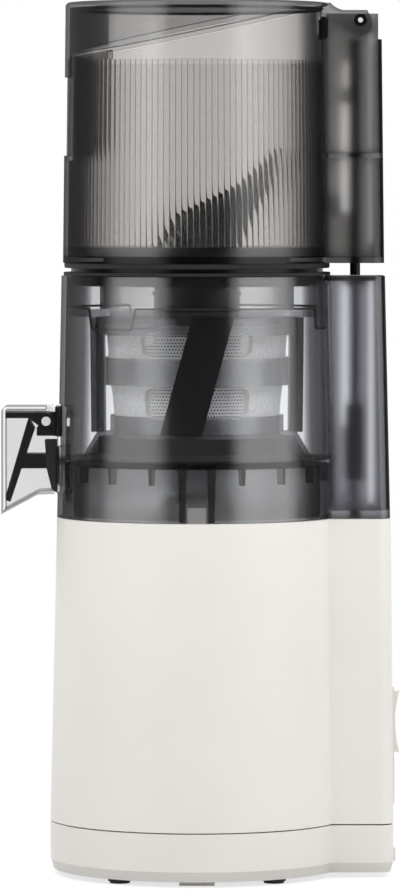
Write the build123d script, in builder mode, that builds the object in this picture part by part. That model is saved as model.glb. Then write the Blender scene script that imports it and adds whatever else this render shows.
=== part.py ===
from build123d import *
import os
from math import acos, copysign, cos, pi, radians, sin, sqrt, tan

# A slow, cold press juicer: a tall round column with a square tail at the back.
# The base holds the motor and its gears.  A bowl with a strainer, a turning wiper
# and an auger stands on it, and a wide hopper with a hinged lid stands on the bowl.
#
# Frame: the auger's axis is Z, the feet stand on Z = 0, the juice spout points
# along -X, the tail along +X.  All lengths are in millimetres.

os.makedirs("parts", exist_ok=True)

# ---------------------------------------------------------------- driving sizes
# clearances
running_fit = 0.05  # radial, a turning shaft in its bearing
body_gap = 0.3  # between pieces that move or lift apart
seat_fit = 0.1  # between pieces that are fixed together

# heights, stacked from the floor to the lid
foot_height = 2.5
cover_height = 21.7
seam_gap = 0.6
housing_height = 139.2
chamber_height = 110.7
neck_height = 6.0
hopper_height = 119.0

# round column: radius at its foot, and what each part loses on the way up
base_foot_radius = 67.6
base_taper = 3.2
chamber_taper = 2.1
hopper_inset = 0.7
hopper_taper = 1.3
neck_inset = 3.7

# square tail: half widths, how far it reaches past the round, and what it loses on the way up
base_tail_foot_half = 28.0
base_tail_head_half = 23.5
column_half = 21.5
tail_reach = 22.3
base_tail_taper = 1.1
chamber_tail_inset = 0.3
chamber_tail_taper = 2.5
hopper_tail_inset = 0.4
hopper_tail_taper = 1.4
tail_corner = 6.0

# walls
base_wall = 2.6
base_roof = 3.0
chamber_wall = 2.4
hopper_wall = 2.2
lid_wall = 2.0
lid_roof = 2.4

# feet and their screws
foot_inset_x = 32.6
foot_inset_y = 22.1
foot_radius = 4.6
foot_flange_radius = 5.4
post_web = 2.4
foot_plug_radius = 2.6
cover_corner = 4.6
rest_boss_height = 2.0
screw_radius = 1.6
screw_head_radius = 2.9
screw_head_height = 2.2
post_radius = 3.9
post_height = 30.0

# motor
can_radius = 36.0
can_wall = 2.0
can_height = 82.0
end_plate_thickness = 6.0
motor_shaft_radius = 4.0
rotor_radius = 17.5
rotor_height = 50.0
air_gap = 0.6
stator_yoke = 8.0
bearing_radius = 9.0
bearing_height = 6.0

# reduction gears
drive_module = 1.25
pinion_teeth = 12
wheel_teeth = 36
drive_backlash = 0.3
first_stage_width = 8.0
second_stage_width = 10.0
stage_clearance = 2.0
gearbox_floor = 5.0
gearbox_wall = 3.0
gearbox_roof = 6.0
gear_tip_room = 2.2
counter_pin_radius = 3.5

# drive shaft
shaft_radius = 6.0
bush_radius = 10.0
drive_boss_radius = 16.0
drive_boss_height = 8.0
seal_height = 3.0
hex_length = 46.0
hex_clearance = 0.35

# bowl
floor_thickness = 2.5
skirt_height = 24.2
tube_inner_radius = 7.2
tube_outer_radius = 10.5
tube_height = 10.0
short_rib_depth = 8.0
rib_width = 2.3
rib_spacing = 20.0
key_rib_width = 4.0
key_rib_tip_width = 2.6
key_rib_x = 6.6
key_width = 8.6
key_height = 7.0

# brush gears on the bowl's floor
brush_module = 2.0
auger_teeth = 22
idler_teeth = 10
ring_teeth = 42
brush_gear_width = 7.0
brush_gear_lift = 3.0
idler_pin_radius = 3.0
idler_angle = 45.0
brush_backlash = 0.3

# strainer
strainer_foot_radius = 36.0
strainer_head_radius = 42.6
strainer_headroom = 16.0
strainer_wall = 2.2
strainer_flange_thickness = 2.4
strainer_flange_gap = 1.8
mesh_thickness = 0.5
window_angle = 80.0
window_count = 3
lower_window = (0.265, 0.507)  # foot and head, as shares of the strainer's height
upper_window = (0.684, 0.875)

# wiper
wiper_middle_gap = 1.3  # from the strainer to the middle ring
wiper_head_gap = 4.0  # from the strainer's head to the outside of the top ring
wiper_foot_radius = 53.0
wiper_ring_wall = 1.6
wiper_ledge_z = 12.0
wiper_middle_ring = (0.5, 0.684)  # foot and head, as shares of the strainer's height
wiper_lower_ring_height = 8.0
wiper_top_ring_height = 8.0
wiper_post_width = 11.0
blade_width = 19.0
blade_lean = 14.5
blade_thickness = 2.6

# auger
auger_hub_radius = 19.5
auger_foot_radius = 21.0
flight_clearance = 1.6
flight_thickness = 4.0
flight_pitch = 66.0
wing_reach = 39.0
wing_foot = 5.0
wing_height = 47.5
dome_height = 24.0

# interlock rods in the tail
rod_offset = 5.1  # behind the round column's foot
rod_radius = 2.35
rod_travel = 3.0
sleeve_radius = 4.6
sleeve_height = 35.0
spring_room = 13.0
spring_wire = 1.1
upper_rod_radius = 3.0

# lid, its hinge and the lift pocket
hinge_offset = 6.9  # behind the round column's foot
hinge_drop = 8.3
cam_radius = 8.0
cam_gap = 0.5
lid_open_angle = 100.0
hinge_screw_radius = 2.0
hinge_screw_head_radius = 3.0
parting_slope = 11.56
parting_drop = 22.0
parting_x = -41.0
pocket_half = 13.0
pocket_back_x = -41.0
pocket_depth = 70.0
pocket_corner = 8.0
rear_step_depth = 8.7
neck_depth = 4.5
lip_depth = 34.0
hopper_mouth_radius = 43.0
hopper_floor = 2.5
lid_gap = 0.35
lid_rim = 1.0

# spout: pivot, clear hood, lever, plug and the mouth that the plug closes
spout_face_inset = 0.2
spout_pivot_reach = 4.9  # from the bowl's flat face out to the pivot
spout_pivot_lift = 20.0  # from the underside of the bowl's floor up to the pivot
spout_reach = 20.6  # these three from the pivot
spout_drop = 43.1
spout_rise = 6.6
spout_half = 14.0
spout_wall = 1.8
spout_screw_radius = 1.5
spout_hub_radius = 3.8
spout_corner = 2.5
spout_face_half = 11.0
bracket_half = 10.5
bracket_recess = 2.0
bracket_proud = 0.9
bracket_drop = 7.1
lug_half = 4.0
arm_half = 6.5
mouth_half = 6.5
mouth_drop = 10.0  # these from the underside of the bowl's floor
mouth_rise = 8.0
cross_bar_drop = 2.0
cross_bar_rise = 4.8
plug_waist_drop = 2.5
plug_overlap = 3.0
sump_reach = 7.5
sump_wall = 1.8
pulp_half = 11.0
pulp_height = 12.0
pulp_inset = 0.4
pulp_plug_inset = 10.2
pulp_hole = (25.5, 33.0)

# rocker switch and inlet on the tail's rear face
switch_z = 70.0
switch_height = 30.8
switch_width = 15.0
switch_proud = 3.7
inlet_z = 42.8
inlet_height = 21.2
inlet_width = 20.0
inlet_proud = 1.0
inlet_bore_radius = 3.6
bezel_margin = 2.5
bezel_depth = 16.0
rocker_room = 0.6

# control board, on ribs of the housing's front wall
board_clearance = 12.0  # from the motor's can
board_lift = 30.0
board_half = 22.0
board_height = 60.0
board_thickness = 1.6
chip_low = 34.0
chip_high = 50.0
chip_half = 8.0
chip_depth = 3.0
relay_low = 6.0
relay_high = 30.0
relay_depth = 7.0
capacitor_radius = 3.6
capacitor_height = 14.0

# ---------------------------------------------------------------- worked levels
cover_z = foot_height
cover_top = cover_z + cover_height
housing_z = cover_top + seam_gap
base_top = housing_z + housing_height
chamber_z = base_top + body_gap
chamber_top = chamber_z + chamber_height
hopper_z = chamber_top + neck_height
lid_top = hopper_z + hopper_height
hinge_z = lid_top - hinge_drop
floor_under = chamber_z + skirt_height
floor_top = floor_under + floor_thickness
boss_top = base_top + drive_boss_height
strainer_height = chamber_top - strainer_headroom - floor_top

# ---------------------------------------------------------------- worked plan sizes
base_head_radius = base_foot_radius - base_taper
chamber_head_radius = base_head_radius - chamber_taper
hopper_foot_radius = chamber_head_radius - hopper_inset
hopper_head_radius = hopper_foot_radius - hopper_taper
neck_radius = hopper_foot_radius - neck_inset
base_tail_foot_rear = base_foot_radius + tail_reach
base_tail_head_rear = base_tail_foot_rear - base_tail_taper
chamber_tail_foot_rear = base_tail_head_rear - chamber_tail_inset
chamber_tail_head_rear = chamber_tail_foot_rear - chamber_tail_taper
hopper_tail_foot_rear = chamber_tail_head_rear - hopper_tail_inset
hopper_tail_head_rear = hopper_tail_foot_rear - hopper_tail_taper
foot_x = base_foot_radius - foot_inset_x
foot_y = base_foot_radius - foot_inset_y
far = 2 * base_foot_radius  # beyond every side of the juicer, for cuts
rod_x = base_foot_radius + rod_offset
hinge_x = base_foot_radius + hinge_offset


def between(low, high, z_low, z_high, z):
    """Value at height z on a straight taper from low to high."""
    return low + (high - low) * (z - z_low) / (z_high - z_low)


def housing_radius(z):
    """Outer radius of the base housing at height z."""
    return between(base_foot_radius, base_head_radius, housing_z, base_top, z)


def chamber_radius(z):
    """Outer radius of the bowl at height z."""
    return between(base_head_radius, chamber_head_radius, chamber_z, chamber_top, z)


def hopper_radius(z):
    """Outer radius of the hopper and the lid at height z."""
    return between(hopper_foot_radius, hopper_head_radius, hopper_z, lid_top, z)


def base_rear(z):
    """X of the base's rear face at height z."""
    return between(base_tail_foot_rear, base_tail_head_rear, housing_z, base_top, z)


def base_tail_half(z):
    """Half width of the base's tail at height z."""
    return between(base_tail_foot_half, base_tail_head_half, housing_z, base_top, z)


def chamber_rear(z):
    """X of the bowl column's rear face at height z."""
    return between(chamber_tail_foot_rear, chamber_tail_head_rear, chamber_z, chamber_top, z)


def hopper_rear(z):
    """X of the hopper column's rear face at height z."""
    return between(hopper_tail_foot_rear, hopper_tail_head_rear, hopper_z, lid_top, z)


def cone(z_low, z_high, r_low, r_high):
    """A solid round frustum about Z."""
    with BuildPart() as form:
        with BuildSketch(Plane.XZ):
            Polygon((0, z_low), (r_low, z_low), (r_high, z_high), (0, z_high), align=None)
        revolve(axis=Axis.Z)
    return form.part


def ring(z_low, z_high, inner_low, outer_low, inner_high, outer_high):
    """A round wall about Z, with its own inner and outer taper."""
    with BuildPart() as form:
        with BuildSketch(Plane.XZ):
            Polygon(
                (inner_low, z_low),
                (outer_low, z_low),
                (outer_high, z_high),
                (inner_high, z_high),
                align=None,
            )
        revolve(axis=Axis.Z)
    return form.part


def tail(z_low, z_high, half_low, rear_low, half_high, rear_high, corner):
    """The square tail: a tapered block with rounded corners, from the axis to its rear face."""
    with BuildPart() as form:
        for z, half, rear in ((z_low, half_low, rear_low), (z_high, half_high, rear_high)):
            with BuildSketch(Plane.XY.offset(z)):
                with Locations((rear / 2, 0)):
                    RectangleRounded(rear, 2 * half, corner)
        loft()
    return form.part


def block(x_low, x_high, y_low, y_high, z_low, z_high):
    """A plain block between two corners."""
    with BuildPart() as form:
        with Locations(((x_low + x_high) / 2, (y_low + y_high) / 2, (z_low + z_high) / 2)):
            Box(x_high - x_low, y_high - y_low, z_high - z_low)
    return form.part


def post(x, y, z_low, z_high, radius):
    """An upright cylinder."""
    with BuildPart() as form:
        with Locations((x, y, z_low)):
            Cylinder(radius, z_high - z_low, align=(Align.CENTER, Align.CENTER, Align.MIN))
    return form.part


def cross_pin(x, z, y_low, y_high, radius):
    """A cylinder along Y."""
    with BuildPart() as form:
        with BuildSketch(Plane.XZ.offset(-y_high)):
            with Locations((x, z)):
                Circle(radius)
        extrude(amount=y_high - y_low)
    return form.part


def involute(angle):
    """The involute function of a pressure angle."""
    return tan(angle) - angle


def gear_outline(teeth, module, backlash, addendum, dedendum, steps):
    """Corner points of a spur gear with involute flanks and a tooth centred on +X."""
    pitch = module * teeth / 2
    base = pitch * cos(radians(20))
    tip = pitch + addendum * module
    root = pitch - dedendum * module
    half_tooth = pi / 2 / teeth - backlash / 2 / pitch
    start = max(root, base)
    flank = []
    for i in range(steps + 1):
        radius = start + (tip - start) * i / steps
        pressure = acos(min(1, base / radius))
        flank.append((radius, half_tooth + involute(radians(20)) - involute(pressure)))
    if root < base:
        flank.insert(0, (root, flank[0][1]))
    points = []
    for tooth in range(teeth):
        middle = 2 * pi * tooth / teeth
        for radius, half in flank:
            points.append((radius * cos(middle - half), radius * sin(middle - half)))
        for radius, half in reversed(flank):
            points.append((radius * cos(middle + half), radius * sin(middle + half)))
    return points


def spur(teeth, module, backlash, z_low, width, turn=0.0, x=0.0, y=0.0, steps=1):
    """A solid spur gear, its first tooth turned from +X by an angle in degrees."""
    with BuildPart() as form:
        with BuildSketch(Plane((x, y, z_low)).rotated((0, 0, turn))):
            outline = gear_outline(teeth, module, backlash, 0.9, 1.25, steps)
            Polygon(*outline, align=None)
        extrude(amount=width)
    return form.part


def finish(builder, label):
    """Name a sub-part and write it."""
    builder.part.label = label
    export_step(builder.part, f"parts/{label}.step")


# ================================================================ base, fixed
base_inner_foot = base_foot_radius - base_wall
base_inner_head = base_head_radius - base_wall
roof_under = base_top - base_roof
gearbox_top = roof_under
cover_plate_z = gearbox_top - gearbox_roof
second_stage_z = cover_plate_z - stage_clearance - second_stage_width
first_stage_z = second_stage_z - stage_clearance - first_stage_width
gearbox_inner_z = first_stage_z - 2 * stage_clearance
gearbox_z = gearbox_inner_z - gearbox_floor
end_plate_z = gearbox_z - end_plate_thickness
can_z = end_plate_z - can_height
counter_x = drive_module * (pinion_teeth + wheel_teeth) / 2
wheel_tip = drive_module * (wheel_teeth / 2 + 0.9)
gearbox_inner_radius = wheel_tip + gear_tip_room
gearbox_radius = gearbox_inner_radius + gearbox_wall
ear_y = gearbox_radius + screw_radius
ear_spots = [(0, ear_y), (0, -ear_y), (counter_x, ear_y), (counter_x, -ear_y)]
foot_spots = [(foot_x, foot_y), (foot_x, -foot_y), (-foot_x, foot_y), (-foot_x, -foot_y)]
web_end = sqrt((base_inner_foot + 1.0) ** 2 - foot_x**2)
switch_x = base_rear(switch_z - switch_height / 2 - 1)
inlet_x = base_rear(inlet_z - inlet_height / 2)
plunger_hole_radius = rod_radius + body_gap
shelf_top = roof_under - 19.0
shelf_thickness = 2.5
board_x = -can_radius - board_clearance
board_z = cover_top + board_lift
board_rib_y = board_half - 3
board_rib_x = -sqrt((housing_radius(board_z) - base_wall + 0.7) ** 2 - board_rib_y**2)
bezel_half = switch_width / 2 + bezel_margin
bezel_height = switch_height + 1.4

base_outer_round = cone(housing_z, base_top, base_foot_radius, base_head_radius)
base_outer_tail = tail(
    housing_z, base_top, base_tail_foot_half, base_tail_foot_rear,
    base_tail_head_half, base_tail_head_rear, tail_corner,
)
base_inner_round = cone(housing_z, roof_under, base_inner_foot, housing_radius(roof_under) - base_wall)
base_inner_tail = tail(
    housing_z, roof_under, base_tail_foot_half - base_wall, base_tail_foot_rear - base_wall,
    base_tail_half(roof_under) - base_wall, base_rear(roof_under) - base_wall, tail_corner - base_wall,
)
key_y = base_head_radius - chamber_wall - body_gap - 2.0

with BuildPart() as base_housing:
    add(base_outer_round)
    add(base_outer_tail)
    add(base_inner_round, mode=Mode.SUBTRACT)
    add(base_inner_tail, mode=Mode.SUBTRACT)
    # posts for the cover's screws, each tied to the side wall by a web
    for x, y in foot_spots:
        add(post(x, y, housing_z, housing_z + post_height, post_radius))
        web_ends = sorted((y, copysign(web_end, y)))
        add(block(x - post_web / 2, x + post_web / 2, web_ends[0], web_ends[1], housing_z,
                  housing_z + post_height))
        add(post(x, y, housing_z, housing_z + post_height - 3, screw_radius), mode=Mode.SUBTRACT)
    # boss that carries the drive shaft's bush
    add(post(0, 0, base_top, boss_top, drive_boss_radius))
    add(post(0, 0, roof_under, boss_top, bush_radius + seat_fit), mode=Mode.SUBTRACT)
    # key that keeps the bowl from turning
    add(block(-key_width / 2, key_width / 2, -key_y, 2 - key_y + 1, base_top, base_top + key_height))
    # screws of the gearbox pass up into the roof
    for x, y in ear_spots:
        add(post(x, y, roof_under, roof_under + base_roof - 0.8, screw_radius), mode=Mode.SUBTRACT)
    # shelf for the interlock switch, and the plunger's hole above it
    add(block(rod_x - 8, base_rear(shelf_top) - base_wall + 0.5, 1 - base_tail_head_half,
              base_tail_head_half - 1, shelf_top - shelf_thickness, shelf_top))
    add(post(rod_x, 0, roof_under - 1, base_top + 1, plunger_hole_radius), mode=Mode.SUBTRACT)
    # ribs that hold the control board
    for y in (-board_rib_y, board_rib_y):
        add(block(board_rib_x, board_x, y - 1.5, y + 1.5, board_z + 8, board_z + board_height - 8))
    # openings for the rocker switch and the cord's inlet
    add(block(switch_x - 8, switch_x + 3, -switch_width / 2 - 1.2, switch_width / 2 + 1.2,
              switch_z - switch_height / 2 - 1.2, switch_z + switch_height / 2 + 1.2),
        mode=Mode.SUBTRACT)
    add(block(inlet_x - 8, inlet_x + 3, -inlet_width / 2 + 2, inlet_width / 2 - 2,
              inlet_z - inlet_height / 2 + 2, inlet_z + inlet_height / 2 - 2),
        mode=Mode.SUBTRACT)
finish(base_housing, "base_housing")

# bottom cover: a tray with a rounded lower edge and a lip that locates the housing
cover_outer_tail = tail(
    cover_z, cover_top, base_tail_foot_half, base_tail_foot_rear,
    base_tail_foot_half, base_tail_foot_rear, tail_corner,
)
cover_inner_tail = tail(
    cover_z + base_wall, cover_top, base_tail_foot_half - base_wall, base_tail_foot_rear - base_wall,
    base_tail_foot_half - base_wall, base_tail_foot_rear - base_wall, tail_corner - base_wall,
)
lip_outer = base_inner_foot - seat_fit
lip_height = seam_gap + 3.0
cover_screw_z = cover_z + base_wall
with BuildPart() as base_bottom_cover:
    add(cone(cover_z, cover_top, base_foot_radius, base_foot_radius))
    add(cover_outer_tail)
    chamfer(base_bottom_cover.faces().sort_by(Axis.Z)[0].outer_wire().edges(), cover_corner * 0.3,
            cover_corner)
    add(cone(cover_z + base_wall, cover_top, base_inner_foot, base_inner_foot), mode=Mode.SUBTRACT)
    add(cover_inner_tail, mode=Mode.SUBTRACT)
    add(ring(cover_top - 3, cover_top, lip_outer - 1.4, base_inner_foot + 0.5, lip_outer - 1.4,
             base_inner_foot + 0.5))
    add(ring(cover_top - 1, cover_top + lip_height, lip_outer - 1.4, lip_outer, lip_outer - 1.4,
             lip_outer - 0.2))
    add(block(20, base_tail_foot_rear - base_wall, base_wall - base_tail_foot_half,
              base_tail_foot_half - base_wall, cover_top - 3, cover_top + lip_height), mode=Mode.SUBTRACT)
    for x, y in foot_spots:
        slot_half = post_web / 2 + body_gap
        slot_ends = sorted((y, copysign(base_foot_radius, y)))
        add(block(x - slot_half, x + slot_half, slot_ends[0], slot_ends[1], cover_top,
                  cover_top + lip_height), mode=Mode.SUBTRACT)
        add(post(x, y, cover_z, housing_z, post_radius))
        add(post(x, y, cover_z, housing_z, screw_radius + 0.2), mode=Mode.SUBTRACT)
        add(post(x, y, cover_z, cover_screw_z + 3, screw_head_radius + 0.2), mode=Mode.SUBTRACT)
    # low rest bosses at the front, the back and both sides
    add(post(-base_foot_radius + 7.5, 0, cover_z - rest_boss_height, cover_z + 1, 4.2))
    add(post(base_tail_foot_rear - 9.5, 0, cover_z - rest_boss_height, cover_z + 1, 3.0))
    for side in (-1, 1):
        add(block(-8, 8, side * (base_foot_radius - 8) - 2.5, side * (base_foot_radius - 8) + 2.5,
                  cover_z - rest_boss_height, cover_z + 1))
    # small bumper at the foot of the rear face
    add(block(base_tail_foot_rear - 1, base_tail_foot_rear + 1.6, -6, 6, cover_z + 3, cover_z + 9.2))
finish(base_bottom_cover, "base_bottom_cover")

with BuildPart() as rubber_feet:
    for x, y in foot_spots:
        add(post(x, y, 0, 1.0, foot_radius))
        add(post(x, y, 1.0, cover_z, foot_flange_radius))
        add(post(x, y, cover_z, cover_screw_z + 0.6, foot_plug_radius))
finish(rubber_feet, "rubber_feet")

with BuildPart() as cover_screws:
    for x, y in foot_spots:
        add(post(x, y, cover_screw_z + 3 - screw_head_height, cover_screw_z + 3, screw_head_radius))
        add(post(x, y, cover_screw_z + 3, housing_z + post_height - 8, screw_radius - 0.05))
finish(cover_screws, "cover_screws")

# ---- motor
can_inner = can_radius - can_wall
rotor_z = can_z + (can_height - rotor_height) / 2
with BuildPart() as motor_can:
    add(post(0, 0, can_z, end_plate_z, can_radius))
    add(post(0, 0, can_z + 3, end_plate_z, can_inner), mode=Mode.SUBTRACT)
    add(post(0, 0, can_z + 2, can_z + 3 + bearing_height, bearing_radius + 3))
    add(post(0, 0, can_z + 3, can_z + 3 + bearing_height, bearing_radius + seat_fit),
        mode=Mode.SUBTRACT)
    add(post(0, 0, can_z, can_z + 4, motor_shaft_radius + 1), mode=Mode.SUBTRACT)
finish(motor_can, "motor_can")

with BuildPart() as motor_end_plate:
    add(post(0, 0, end_plate_z, gearbox_z, can_radius))
    add(post(0, 0, end_plate_z, gearbox_z, bearing_radius + seat_fit), mode=Mode.SUBTRACT)
finish(motor_end_plate, "motor_end_plate")

with BuildPart() as motor_bearings:
    for z in (can_z + 3, end_plate_z):
        add(post(0, 0, z, z + bearing_height, bearing_radius))
    add(post(0, 0, can_z, gearbox_z, motor_shaft_radius + running_fit), mode=Mode.SUBTRACT)
finish(motor_bearings, "motor_bearings")

with BuildPart() as motor_stator:
    add(post(0, 0, rotor_z, rotor_z + rotor_height, can_inner - seat_fit))
    add(post(0, 0, rotor_z, rotor_z + rotor_height, can_inner - stator_yoke), mode=Mode.SUBTRACT)
    pole_inner = rotor_radius + air_gap
    pole_middle = (pole_inner + can_inner - stator_yoke) / 2
    pole_length = can_inner - stator_yoke - pole_inner + 1
    with Locations((0, 0, rotor_z + rotor_height / 2)):
        with PolarLocations(pole_middle + 0.5, 6):
            Box(pole_length, 11, rotor_height)
    add(post(0, 0, rotor_z, rotor_z + rotor_height, pole_inner), mode=Mode.SUBTRACT)
finish(motor_stator, "motor_stator")

# ---- gearbox
with BuildPart() as gearbox_housing:
    with BuildSketch(Plane.XY.offset(gearbox_z)):
        with Locations((counter_x / 2, 0)):
            SlotCenterToCenter(counter_x, 2 * gearbox_radius)
    extrude(amount=cover_plate_z - gearbox_z)
    for x, y in ear_spots:
        add(post(x, y, gearbox_z, cover_plate_z, screw_radius + 2.6))
    with BuildSketch(Plane.XY.offset(gearbox_inner_z)):
        with Locations((counter_x / 2, 0)):
            SlotCenterToCenter(counter_x, 2 * gearbox_inner_radius)
    extrude(amount=cover_plate_z - gearbox_inner_z, mode=Mode.SUBTRACT)
    for x, y in ear_spots:
        add(post(x, y, gearbox_z, cover_plate_z, screw_radius + 0.2), mode=Mode.SUBTRACT)
        add(post(x, y, gearbox_z, gearbox_z + screw_head_height, screw_head_radius + 0.2),
            mode=Mode.SUBTRACT)
    add(post(0, 0, gearbox_z, gearbox_inner_z, motor_shaft_radius + 1), mode=Mode.SUBTRACT)
    add(post(counter_x, 0, gearbox_z + 1.5, gearbox_inner_z, counter_pin_radius + seat_fit),
        mode=Mode.SUBTRACT)
    add(ring(gearbox_inner_z, first_stage_z - body_gap, counter_pin_radius + seat_fit,
             counter_pin_radius + 2, counter_pin_radius + seat_fit, counter_pin_radius + 2)
        .moved(Location((counter_x, 0, 0))))
finish(gearbox_housing, "gearbox_housing")

with BuildPart() as gearbox_cover:
    with BuildSketch(Plane.XY.offset(cover_plate_z)):
        with Locations((counter_x / 2, 0)):
            SlotCenterToCenter(counter_x, 2 * gearbox_radius)
    extrude(amount=gearbox_roof)
    for x, y in ear_spots:
        add(post(x, y, cover_plate_z, gearbox_top, screw_radius + 2.6))
        add(post(x, y, cover_plate_z, gearbox_top, screw_radius + 0.2), mode=Mode.SUBTRACT)
    add(post(0, 0, cover_plate_z, gearbox_top, bush_radius + seat_fit), mode=Mode.SUBTRACT)
    add(post(counter_x, 0, cover_plate_z, gearbox_top - 1.5, counter_pin_radius + seat_fit),
        mode=Mode.SUBTRACT)
finish(gearbox_cover, "gearbox_cover")

with BuildPart() as gearbox_screws:
    for x, y in ear_spots:
        add(post(x, y, gearbox_z + 0.1, gearbox_z + screw_head_height, screw_head_radius))
        add(post(x, y, gearbox_z + screw_head_height, roof_under + base_roof - 1.0, screw_radius - 0.05))
finish(gearbox_screws, "gearbox_screws")

with BuildPart() as counter_pin:
    add(post(counter_x, 0, gearbox_z + 1.5, gearbox_top - 1.5, counter_pin_radius))
finish(counter_pin, "counter_pin")

with BuildPart() as output_bush:
    add(post(0, 0, cover_plate_z, boss_top, bush_radius))
    add(post(0, 0, cover_plate_z, boss_top, shaft_radius + running_fit), mode=Mode.SUBTRACT)
finish(output_bush, "output_bush")

with BuildPart() as shaft_seal:
    add(post(0, 0, boss_top, boss_top + 1.2, drive_boss_radius - 2))
    add(post(0, 0, boss_top + 1.2, boss_top + seal_height, shaft_radius + 2.5))
    add(post(0, 0, boss_top, boss_top + seal_height, shaft_radius + running_fit), mode=Mode.SUBTRACT)
finish(shaft_seal, "shaft_seal")

# ---- electrics
with BuildPart() as control_board:
    add(block(board_x, board_x + board_thickness, -board_half, board_half, board_z,
              board_z + board_height))
    chip_x = board_x + board_thickness
    add(block(chip_x, chip_x + chip_depth, -chip_half, chip_half, board_z + chip_low, board_z + chip_high))
    add(block(chip_x, chip_x + relay_depth, board_half / 2, board_half - chip_depth, board_z + relay_low,
              board_z + relay_high))
    for y in (-board_half * 0.68, -board_half * 0.23):
        with Locations((chip_x, y, board_z + capacitor_height)):
            Cylinder(capacitor_radius, relay_depth, rotation=(0, 90, 0),
                     align=(Align.CENTER, Align.CENTER, Align.MIN))
finish(control_board, "control_board")

plunger_top = chamber_z + 0.7
plunger_collar_top = roof_under - rod_travel - body_gap
switch_body_top = plunger_collar_top - 5.0
with BuildPart() as interlock_switch:
    add(block(rod_x - 5, rod_x + 5, -10, 10, shelf_top, switch_body_top - 1.2))
    add(block(rod_x - 1.5, rod_x + 1.5, -2, 2, switch_body_top - 1.2, switch_body_top - body_gap))
finish(interlock_switch, "interlock_switch")

with BuildPart() as interlock_plunger:
    add(post(rod_x, 0, switch_body_top, plunger_top, rod_radius))
    add(post(rod_x, 0, plunger_collar_top - 2, plunger_collar_top, rod_radius + 2))
finish(interlock_plunger, "interlock_plunger")

bezel_back = switch_x - bezel_depth
with BuildPart() as switch_bezel:
    add(block(switch_x, switch_x + 1.0, -bezel_half, bezel_half,
              switch_z - bezel_height / 2, switch_z + bezel_height / 2))
    add(block(bezel_back, switch_x, -switch_width / 2 - 1, switch_width / 2 + 1,
              switch_z - switch_height / 2 - 1, switch_z + switch_height / 2 + 1))
    add(block(bezel_back + 3, switch_x + 1.0, -switch_width / 2 + 0.4, switch_width / 2 - 0.4,
              switch_z - switch_height / 2 - 0.1, switch_z + switch_height / 2 + 0.1),
        mode=Mode.SUBTRACT)
    add(cross_pin(switch_x - 6, switch_z, -switch_width / 2, switch_width / 2, 1.6))
finish(switch_bezel, "switch_bezel")

rocker_half = switch_height / 2 - 1.0
rocker_edge = switch_x + switch_proud
with BuildPart() as rocker_switch:
    with BuildSketch(Plane.XZ.offset(-switch_width / 2 + rocker_room + 0.4)):
        with BuildLine():
            ThreePointArc(
                (rocker_edge, switch_z - rocker_half),
                (rocker_edge - 2.2, switch_z),
                (rocker_edge, switch_z + rocker_half),
            )
            Polyline(
                (rocker_edge, switch_z + rocker_half),
                (switch_x - 3, switch_z + rocker_half - 0.8),
                (switch_x - 9.5, switch_z + 5),
                (switch_x - 9.5, switch_z - 5),
                (switch_x - 3, switch_z - rocker_half + 0.8),
                (rocker_edge, switch_z - rocker_half),
            )
        make_face()
    extrude(amount=switch_width - 2 * rocker_room - 0.8)
    add(cross_pin(switch_x - 6, switch_z, -switch_width, switch_width, 1.6 + running_fit),
        mode=Mode.SUBTRACT)
finish(rocker_switch, "rocker_switch")

with BuildPart() as cord_inlet:
    add(block(inlet_x, inlet_x + inlet_proud, -inlet_width / 2, inlet_width / 2,
              inlet_z - inlet_height / 2, inlet_z + inlet_height / 2))
    add(block(inlet_x - 9, inlet_x, -inlet_width / 2 + 2.4, inlet_width / 2 - 2.4,
              inlet_z - inlet_height / 2 + 2.4, inlet_z + inlet_height / 2 - 2.4))
    with Locations((inlet_x - 9, 0, inlet_z)):
        Cylinder(inlet_bore_radius, 9 + inlet_proud, rotation=(0, 90, 0),
                 align=(Align.CENTER, Align.CENTER, Align.MIN), mode=Mode.SUBTRACT)
finish(cord_inlet, "cord_inlet")

# ================================================================ base, turning
wheel_turn = 180.0 / wheel_teeth
with BuildPart() as motor_rotor:
    add(post(0, 0, rotor_z, rotor_z + rotor_height, rotor_radius))
    add(post(0, 0, can_z + 1, first_stage_z + first_stage_width + 0.5, motor_shaft_radius))
finish(motor_rotor, "motor_rotor")

with BuildPart() as motor_pinion:
    add(spur(pinion_teeth, drive_module, drive_backlash, first_stage_z - 1, first_stage_width + 1.5,
             steps=2))
    add(post(0, 0, first_stage_z - 1, first_stage_z + first_stage_width + 1, motor_shaft_radius),
        mode=Mode.SUBTRACT)
finish(motor_pinion, "motor_pinion")

with BuildPart() as counter_gear:
    add(spur(wheel_teeth, drive_module, drive_backlash, first_stage_z, first_stage_width,
             turn=wheel_turn, x=counter_x))
    add(spur(pinion_teeth, drive_module, drive_backlash, first_stage_z + first_stage_width,
             second_stage_width + stage_clearance + 1, x=counter_x, steps=2))
    add(post(counter_x, 0, first_stage_z, cover_plate_z, counter_pin_radius + running_fit),
        mode=Mode.SUBTRACT)
finish(counter_gear, "counter_gear")

with BuildPart() as output_gear:
    add(spur(wheel_teeth, drive_module, drive_backlash, second_stage_z, second_stage_width,
             turn=wheel_turn))
    add(post(0, 0, second_stage_z + second_stage_width, cover_plate_z - body_gap, bush_radius))
    add(post(0, 0, second_stage_z, cover_plate_z, shaft_radius), mode=Mode.SUBTRACT)
finish(output_gear, "output_gear")

hex_z = boss_top + seal_height + 1.0
with BuildPart() as drive_shaft:
    add(post(0, 0, second_stage_z, hex_z, shaft_radius))
    with BuildSketch(Plane.XY.offset(hex_z)):
        RegularPolygon(shaft_radius - 0.05, 6)
    extrude(amount=hex_length)
    chamfer(drive_shaft.faces().sort_by(Axis.Z)[-1].edges(), 1.0)
finish(drive_shaft, "drive_shaft")
shaft_top = hex_z + hex_length

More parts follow.
